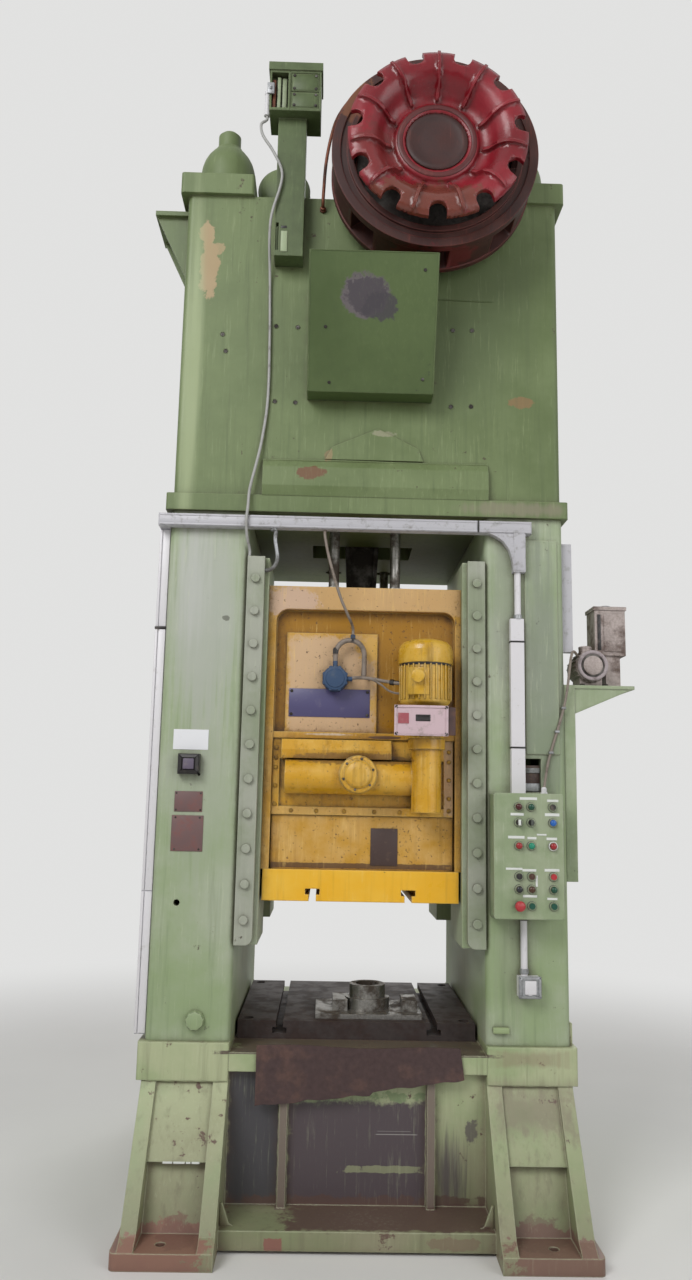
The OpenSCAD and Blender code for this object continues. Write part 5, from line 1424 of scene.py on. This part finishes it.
@dataclass
class CrownTrim(Assembly):
    """Small work on the crown: tie-rod nuts, plugged holes, a seam, the cover's screws and the switch box.

    Args:
        front: Y of the crown's front in millimetres.
        nut_foot: Z of the upper nuts' seat.
        low_nut_foot: Z of the lower nuts' seat.
        tie: X and Y of a tie rod, the others mirrored.
        plugs: X and Z of the plugged holes.
        cover_lean: How far the sloping cover leans out over its height.
        cover_rise: The cover's height.
        cover_foot: Y and Z of the cover's lower edge.
    """

    front: float = -620.0
    nut_foot: float = 4192.0
    low_nut_foot: float = 288.0
    tie: tuple[float, float] = (645.0, 470.0)
    plugs: tuple[tuple[float, float], ...] = (
        (-622, 3462), (-606, 3387), (-398, 3505), (-307, 3503), (348, 3509), (430, 3511), (-393, 3170),
        (-308, 3168), (341, 3168), (425, 3171))
    cover_lean: float = 200.0
    cover_rise: float = 504.0
    cover_foot: tuple[float, float] = (-720.0, 3176.0)

    def nuts(self) -> None:
        """The domed nuts of the tie rods, which stand for the plain ones."""
        x, y = self.tie
        dome = [(120, 0), (120, 96), (117, 122), (109, 150), (96, 176), (80, 198), (66, 212), (60, 225), (49, 225)]
        corners = [(x * i, y * j) for i in (-1, 1) for j in (-1, 1)]
        upper = self.studs([(*corner, self.nut_foot) for corner in corners], UP, dome, 48)
        lower = self.studs([(*corner, self.low_nut_foot) for corner in corners], UP, [(85, 0), (85, 130), (80, 140)],
                           32)
        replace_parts(self.mount([upper, lower], "tie_nuts", CROWN_GREEN, smooth=30), "tie_rod_nuts")

    def holes(self) -> None:
        """Plugged bolt holes in the front of the crown, the scratched seam beside the cover and the band's lip."""
        y = self.front
        plugs = self.studs([(x, y + 0.5, z) for x, z in self.plugs], FRONT, [(9, 0), (8.5, 1.2), (5, 0.9)], 12)
        self.mount(plugs, "crown_hole_plugs", DARK_STEEL)
        rims = [self.hoop((x, y - 0.5, z), 10, 2.5, 2.5, 16) for x, z in self.plugs]
        self.mount(rims, "crown_hole_rims", CROWN_GREEN)
        seam = self.tube([(262, y, 3644), (330, y - 1, 3646), (440, y - 1, 3643), (520, y, 3643)], 2.5, 8)
        self.mount(seam, "crown_seam", COVER_GREEN)
        lip = self.tube([(-432, y - 8, 2912), (-100, y - 9, 2915), (160, y - 8, 2913), (493, y - 8, 2914)], 4, 8)
        self.mount(lip, "crown_band_lip", CROWN_GREEN)

    def cover_screws(self) -> None:
        """Screws and the turned edge of the sloping cover."""
        y, foot = self.cover_foot
        places = [(x, y - (z - foot) * self.cover_lean / self.cover_rise, z)
                  for x, z in ((203, 3620), (-188, 3410), (-169, 3210), (210, 3230))]
        self.mount(self.studs(places, (0, -0.93, -0.37)), "cover_screws", DARK_STEEL)
        hem = [(-254, -719, 3178), (-254, -918, 3680), (254, -918, 3680), (254, -719, 3178)]
        self.mount(self.tube(hem, 4, 8, smooth=False), "cover_hem", COVER_GREEN)

    def switch_box(self) -> None:
        """Strips, clamp, gland and lids in the switch box, and what shows in the slot of its post."""
        self.mount(self.block((-439, -746, 4432), (-425, -718, 4566), 3, 3), "switch_strip_brown", PIPE_BROWN)
        self.mount([self.block((-419, -744, 4428), (-404, -718, 4580), 3, 3),
                    self.block((-398, -738, 4428), (-378, -718, 4580), 3, 3)], "switch_strips_pale", CAB_GREEN)
        clamp = self.block((-460, -768, 4484), (-430, -758, 4536), 3, 3)
        stud = self.turned((-445, -767, 4510), FRONT, [(8, 0), (8, 6), (5, 7), (5, 11), (3, 12)], HEX)
        self.mount([clamp, stud], "switch_clamp", GALVANISED)
        rings = [(13, 0), (13, 12), (10.5, 13), (10.5, 100), (12, 101), (12, 116), (8, 118)]
        self.mount(self.turned((-462, -710, 4419), UP, rings, 16), "switch_gland", CONDUIT_WHITE)
        lids = [self.block((-354, -759.5, z0), (-246, -756, z1), 1.5) for z0, z1 in ((4509, 4584), (4430, 4495))]
        self.mount(lids, "switch_lids", POST_GREEN)
        places = [(x, -759, z) for x in (-346, -254) for z in (4438, 4488, 4517, 4577)]
        self.mount(self.studs(places, FRONT), "switch_screws", DARK_STEEL)
        self.mount(self.block((-386, -714, 3792), (-358, -708, 3886), 2), "post_tongue", COLUMN_GREEN)
        self.mount(self.block((-386, -711.5, 3900), (-362, -709, 3911)), "post_slot", DARK_PLASTIC)

    def build(self) -> None:
        """Builds the trim of the crown."""
        for make in (self.nuts, self.holes, self.cover_screws, self.switch_box):
            make()


@dataclass
class LubricatorTrim(Assembly):
    """End ring, ribs, sight strip and filler of the lubricator.

    Args:
        motor: X and Z of its motor's axis in millimetres.
        motor_front: Y of the motor's front.
        bolt_y: Y of the bolts in the shelf.
    """

    motor: tuple[float, float] = (926.0, 2098.0)
    motor_front: float = -574.0
    bolt_y: float = -580.0

    def motor_end(self) -> None:
        """The pale ring and the dark dish with its hub at the motor's end, and the ribs behind."""
        x, z = self.motor
        foot = (x, self.motor_front, z)
        self.mount(self.hoop((x, self.motor_front - 2, z), 55, 15, 14), "lubricator_ring", CAST_GREY)
        self.mount(self.turned(foot, FRONT, [(50, 0), (50, 1.5), (44, 2)], 40), "lubricator_dish", DARK_STEEL)
        hub = self.turned(foot, FRONT, [(39, 1), (39, 8), (34, 10), (12, 10.5)], 40)
        self.mount(hub, "lubricator_hub", LUB_STEEL)
        rib = self.block((x + 62, -555, z - 2.5), (x + 68, -415, z + 2.5))
        self.mount(self.ring_of(rib, (x, 0, z), REAR, 20), "lubricator_ribs", LUB_STEEL)

    def tank(self) -> None:
        """Panel, sight strip and filler of the tank, the pump's cap and the shelf's bolts."""
        self.mount(self.block((992, -513, 2166), (1072, -509, 2326), 3, 3), "tank_panel", LUB_STEEL)
        self.mount(self.block((966, -514, 2172), (980, -509, 2322), 2), "tank_sight", DARK_PLASTIC)
        filler = self.turned((1018, -450, 2354), UP, [(24, 0), (24, 10), (20, 14), (8, 15)], 24)
        self.mount(filler, "tank_filler", GALVANISED)
        rings = [(29, 0), (29, 6), (24, 8), (24, 22), (27, 23), (27, 30), (22, 33)]
        self.mount(self.turned((910, -520, 2150), UP, rings, 28), "pump_cap", LUB_STEEL)
        bolts = self.studs([(x, self.bolt_y, 2014) for x in (880, 972)], UP, HEX_HEAD, HEX)
        self.mount(bolts, "shelf_bolts", DARK_STEEL, smooth=CRISP)

    def build(self) -> None:
        """Builds the trim of the lubricator."""
        self.motor_end()
        self.tank()


@dataclass
class BedTrim(Assembly):
    """The dented apron, gussets, weld beads and white line of the bed.

    Args:
        front: Y of the table's front in millimetres.
        apron_left: X of the sheet's left side.
        apron_width: Width of the sheet at its foot.
        apron_thick: Thickness of the sheet.
        apron_top: Z of the sheet's upper edge.
        hem: Height and slope of its lower edge left of the tear.
        torn_hem: The same right of the tear.
        tear_x: X of the tear.
        ribs: X of the weld beads down the ribs.
        dashes: X and length of each dash of the white line.
    """

    front: float = -640.0
    apron_left: float = -378.0
    apron_width: float = 772.0
    apron_thick: float = 4.0
    apron_top: float = 637.0
    hem: tuple[float, float] = (426.0, 0.103)
    torn_hem: tuple[float, float] = (480.0, 0.139)
    tear_x: float = 50.0
    ribs: tuple[float, ...] = (-289, -257, 257, 289)
    dashes: tuple[tuple[float, float], ...] = ((-688, 34), (-650, 40), (-606, 16), (-586, 28))

    def apron(self) -> None:
        """The rusted sheet over the front of the table, dented and torn at its lower edge."""
        bpy.ops.object.select_all(action="DESELECT")
        bpy.ops.mesh.primitive_grid_add(x_subdivisions=64, y_subdivisions=18, size=2.0)
        sheet = bpy.context.object
        for vertex in sheet.data.vertices:
            across, up = (vertex.co.x + 1) / 2, (vertex.co.y + 1) / 2
            x = self.apron_left + across * (self.apron_width - 14 * up)
            (height, slope), begin = ((self.hem, self.apron_left) if x < self.tear_x else (self.torn_hem, self.tear_x))
            low = height + (x - begin) * slope
            top = self.apron_top + 4 * math.sin(across * 9) - 3 * across
            low += 2.5 * math.sin(across * 31) + 1.5 * math.sin(across * 57)
            dent = 3.2 * math.sin(across * 7.3 + 1) * (1 - up) + 2.2 * math.sin(across * 17 + up * 4) * (1 - up) ** 2
            y = self.front - 3 - max(0.0, dent) - 5 * (1 - up) ** 2 * across
            vertex.co = mm(x, y, low + up * (top - low))
        self.apply(sheet, "SOLIDIFY", thickness=self.apron_thick * MM, offset=0.0)
        with shaping(sheet):
            turn_outwards()
        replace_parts(self.mount(sheet, "apron_dented", APRON_RUST), "apron_sheet")

    def build(self) -> None:
        """Builds the apron, the gussets at the floor tie, the weld beads and the broken white line on a leg."""
        self.apron()
        shape = [(-478, 74), (-430, 74), (-446, 84), (-470, 148), (-478, 150)]
        mirrored = [(-x, z) for x, z in reversed(shape)]
        self.mount([self.plate(side, -784, -772, 2) for side in (shape, mirrored)], "tie_gussets", BED_GREEN)
        beads = []
        for x in self.ribs:
            line = [(x + 1.2 * math.sin(step * 2.1), -602, 80 + 22 * step) for step in range(22)]
            beads.append(self.tube(line, 4, 8, smooth=False))
        for side in (-1, 1):
            line = [(side * (481 + 16 * step), -634 + 1.5 * math.sin(step * 1.7), 508) for step in range(20)]
            beads.append(self.tube(line, 4.5, 8, smooth=False))
        self.mount(beads, "bed_welds", BED_GREEN)
        dashes = [self.block((x, -763.5, 266), (x + wide, -757, 272), 0.8, 1) for x, wide in self.dashes]
        self.mount(dashes, "leg_line", LABEL_WHITE)


@dataclass
class DriveTrim(Assembly):
    """Work on the drive behind the crown: motor fins and grille, receiver seams and clutch bolts.

    Args:
        motor: X and Z of the motor's axis in millimetres.
        receiver: X and Z of the air receiver's axis.
    """

    motor: tuple[float, float] = (-380.0, 4330.0)
    receiver: tuple[float, float] = (-402.0, 4330.0)

    def motor_parts(self) -> None:
        """Fins along the casing, the fan grille and the lid of the terminal box."""
        x, z = self.motor
        fin = self.block((x + 131, 150, z - 2.5), (x + 143, 470, z + 2.5))
        self.mount(self.ring_of(fin, (x, 0, z), REAR, 30, 6), "main_motor_fins", DARK_GREEN)
        grille = [self.hoop((x, 40, z), radius, 6, 6, 40) for radius in (30, 52, 74, 96)]
        spoke = self.block((x + 20, 37, z - 3), (x + 104, 41, z + 3))
        grille.append(self.ring_of(spoke, (x, 0, z), REAR, 6))
        self.mount(grille, "main_motor_grille", DARK_STEEL)
        self.mount(self.block((x + 189, 226, z - 34), (x + 196, 394, z + 69), 3, 3), "main_motor_lid", DARK_GREEN)

    def receiver_parts(self) -> None:
        """Weld seams round the receiver, its straps and its drain."""
        x, z = self.receiver
        bands = [self.hoop((x, y, z), 118, 7, 9, 64) for y in (-1, -318)]
        bands += [self.hoop((x, y, z), 119, 5, 28, 64) for y in (-265, -55)]
        self.mount(bands, "receiver_straps", CROWN_GREEN)
        rings = [(16, -3), (16, 8), (9, 9), (9, 22), (12, 23), (12, 32), (8, 34)]
        self.mount(self.turned((x, -160, z - 117), DOWN, rings, 16), "receiver_drain", BRONZE)

    def build(self) -> None:
        """Builds the trim of the drive, with the bolts in the clutch disc last."""
        self.motor_parts()
        self.receiver_parts()
        x, z = SHAFT_AXIS
        bolt = self.turned((x + 200, 891, z), REAR, [(19, 0), (19, 12), (16, 14), (6, 14.3)], HEX)
        self.mount(self.ring_of(bolt, (x, 0, z), REAR, 6), "clutch_bolts", DARK_STEEL, "shaft", CRISP)


@dataclass(frozen=True)
class Studio:
    """Camera, lights and floor.

    Args:
        eye: The camera's place in metres.
        pitch: Degrees that it looks up.
        yaw: Degrees that it looks to the right.
        roll: Degrees that it is rolled.
        lens: Focal length in millimetres on a 36 mm long side.
        backdrop: Colour of the backdrop.
        glow: How bright the backdrop is seen.
        ambient: How strongly the backdrop lights the press.
    """

    eye: Point = (-0.145, -4.407, 1.55)
    pitch: float = 9.32
    yaw: float = 1.03
    roll: float = 1.17
    lens: float = 27.0
    backdrop: str = "#f1f1f0"
    glow: float = 0.86
    ambient: float = 0.34

    def camera(self) -> None:
        """Sets the camera at the place from which the press was seen."""
        data = bpy.data.cameras.new("camera")
        data.lens = self.lens
        data.sensor_width = 36.0
        camera = bpy.data.objects.new("camera", data)
        bpy.context.scene.collection.objects.link(camera)
        p, y, r = (math.radians(a) for a in (self.pitch, self.yaw, self.roll))
        base = Matrix(((1, 0, 0), (0, 0, -1), (0, 1, 0)))
        turn_y = Matrix(((math.cos(y), 0, -math.sin(y)), (0, 1, 0), (math.sin(y), 0, math.cos(y))))
        turn_x = Matrix(((1, 0, 0), (0, math.cos(p), math.sin(p)), (0, -math.sin(p), math.cos(p))))
        turn_z = Matrix(((math.cos(r), -math.sin(r), 0), (math.sin(r), math.cos(r), 0), (0, 0, 1)))
        to_camera = turn_z @ turn_x @ turn_y @ base
        flip = Matrix(((1, 0, 0), (0, -1, 0), (0, 0, -1)))
        camera.matrix_world = Matrix.Translation(self.eye) @ (to_camera.transposed() @ flip).to_4x4()
        bpy.context.scene.camera = camera

    def lamp(self, name: str, place: Point, aim: Point, size: float, power: float) -> None:
        """Adds a soft square lamp.

        Args:
            name: Its name.
            place: Where it stands, in metres.
            aim: What it points at.
            size: The side of its square.
            power: Its power in watts.
        """
        data = bpy.data.lights.new(name, "AREA")
        data.size = size
        data.energy = power
        lamp = bpy.data.objects.new(name, data)
        bpy.context.scene.collection.objects.link(lamp)
        lamp.location = place
        lamp.rotation_euler = (Vector(aim) - Vector(place)).to_track_quat("-Z", "Y").to_euler()

    def world(self) -> None:
        """A pale, even sky, brighter to the camera and in reflections than as light."""
        world = bpy.data.worlds.new("studio")
        bpy.context.scene.world = world
        world.use_nodes = True
        world.node_tree.nodes.clear()
        put = partial(add_node, world.node_tree)
        rays = ("Is Camera Ray", "Is Glossy Ray", "Is Transmission Ray")
        seen, glossy, through = (put("LightPath", out=ray) for ray in rays)
        seen = put("Math", {0: seen, 1: glossy}, operation="MAXIMUM")
        seen = put("Math", {0: seen, 1: through}, operation="MAXIMUM")
        strength = put("MapRange", {0: seen, 3: self.ambient, 4: self.glow})
        put("OutputWorld", {"Surface": put("Background", {"Color": self.backdrop, "Strength": strength})})

    def floor(self) -> None:
        """A plain pale floor that fades into the backdrop."""
        bpy.ops.object.select_all(action="DESELECT")
        bpy.ops.mesh.primitive_plane_add(size=60.0, location=(0, 0, 0))
        floor = bpy.context.object
        floor.name = "floor"
        pale = bpy.data.materials.new("pale floor")
        pale.use_nodes = True
        pale.node_tree.nodes.clear()
        put = partial(add_node, pale.node_tree)
        place = put("TexCoord", out="Object")
        clouds = put("TexNoise", {"Vector": place, "Scale": 1.2, "Detail": 5.0})
        tint = put("Mix", {0: clouds, 6: "#dedddb", 7: "#e8e7e5"}, 2, **COLOUR)
        near = put("BsdfPrincipled", {"Roughness": 0.85, "Base Color": tint})
        far = put("Emission", {"Color": self.backdrop, "Strength": self.glow})
        reach = put("VectorMath", {0: place}, "Value", operation="LENGTH")
        fade = put("MapRange", {0: reach, 1: 2.2, 2: 5.5}, **SMOOTH)
        fade = put("Math", {0: fade, 1: put("LightPath", out="Is Camera Ray")}, operation="MULTIPLY")
        put("OutputMaterial", {"Surface": put("MixShader", {0: fade, 1: near, 2: far})})
        floor.data.materials.append(pale)

    def build(self) -> None:
        """Sets up the floor and the light."""
        self.world()
        self.floor()
        self.lamp("key", (-3.6, -6.0, 6.4), (0, 0, 2.4), 3.5, 325)
        self.lamp("fill", (4.2, -5.0, 3.6), (0, 0, 2.0), 4.0, 105)
        self.lamp("back", (2.0, 6.0, 6.0), (0, 0, 2.6), 4.0, 180)
        bpy.context.scene.view_settings.view_transform = "Standard"


def main() -> None:
    """Builds the scene piece by piece."""
    logging.basicConfig(level=logging.INFO, format="%(name)s: %(message)s")
    studio = Studio()
    studio.camera()
    shop = PaintShop()
    Cords(shop).build()
    shop.dress_nodes()
    shop.round_nodes()
    for trim in (SlideTrim, ControlTrim, BrakeTrim, ColumnTrim, CrownTrim, LubricatorTrim, BedTrim, DriveTrim):
        trim(shop).build()
    studio.build()


if __name__ == "__main__":
    main()
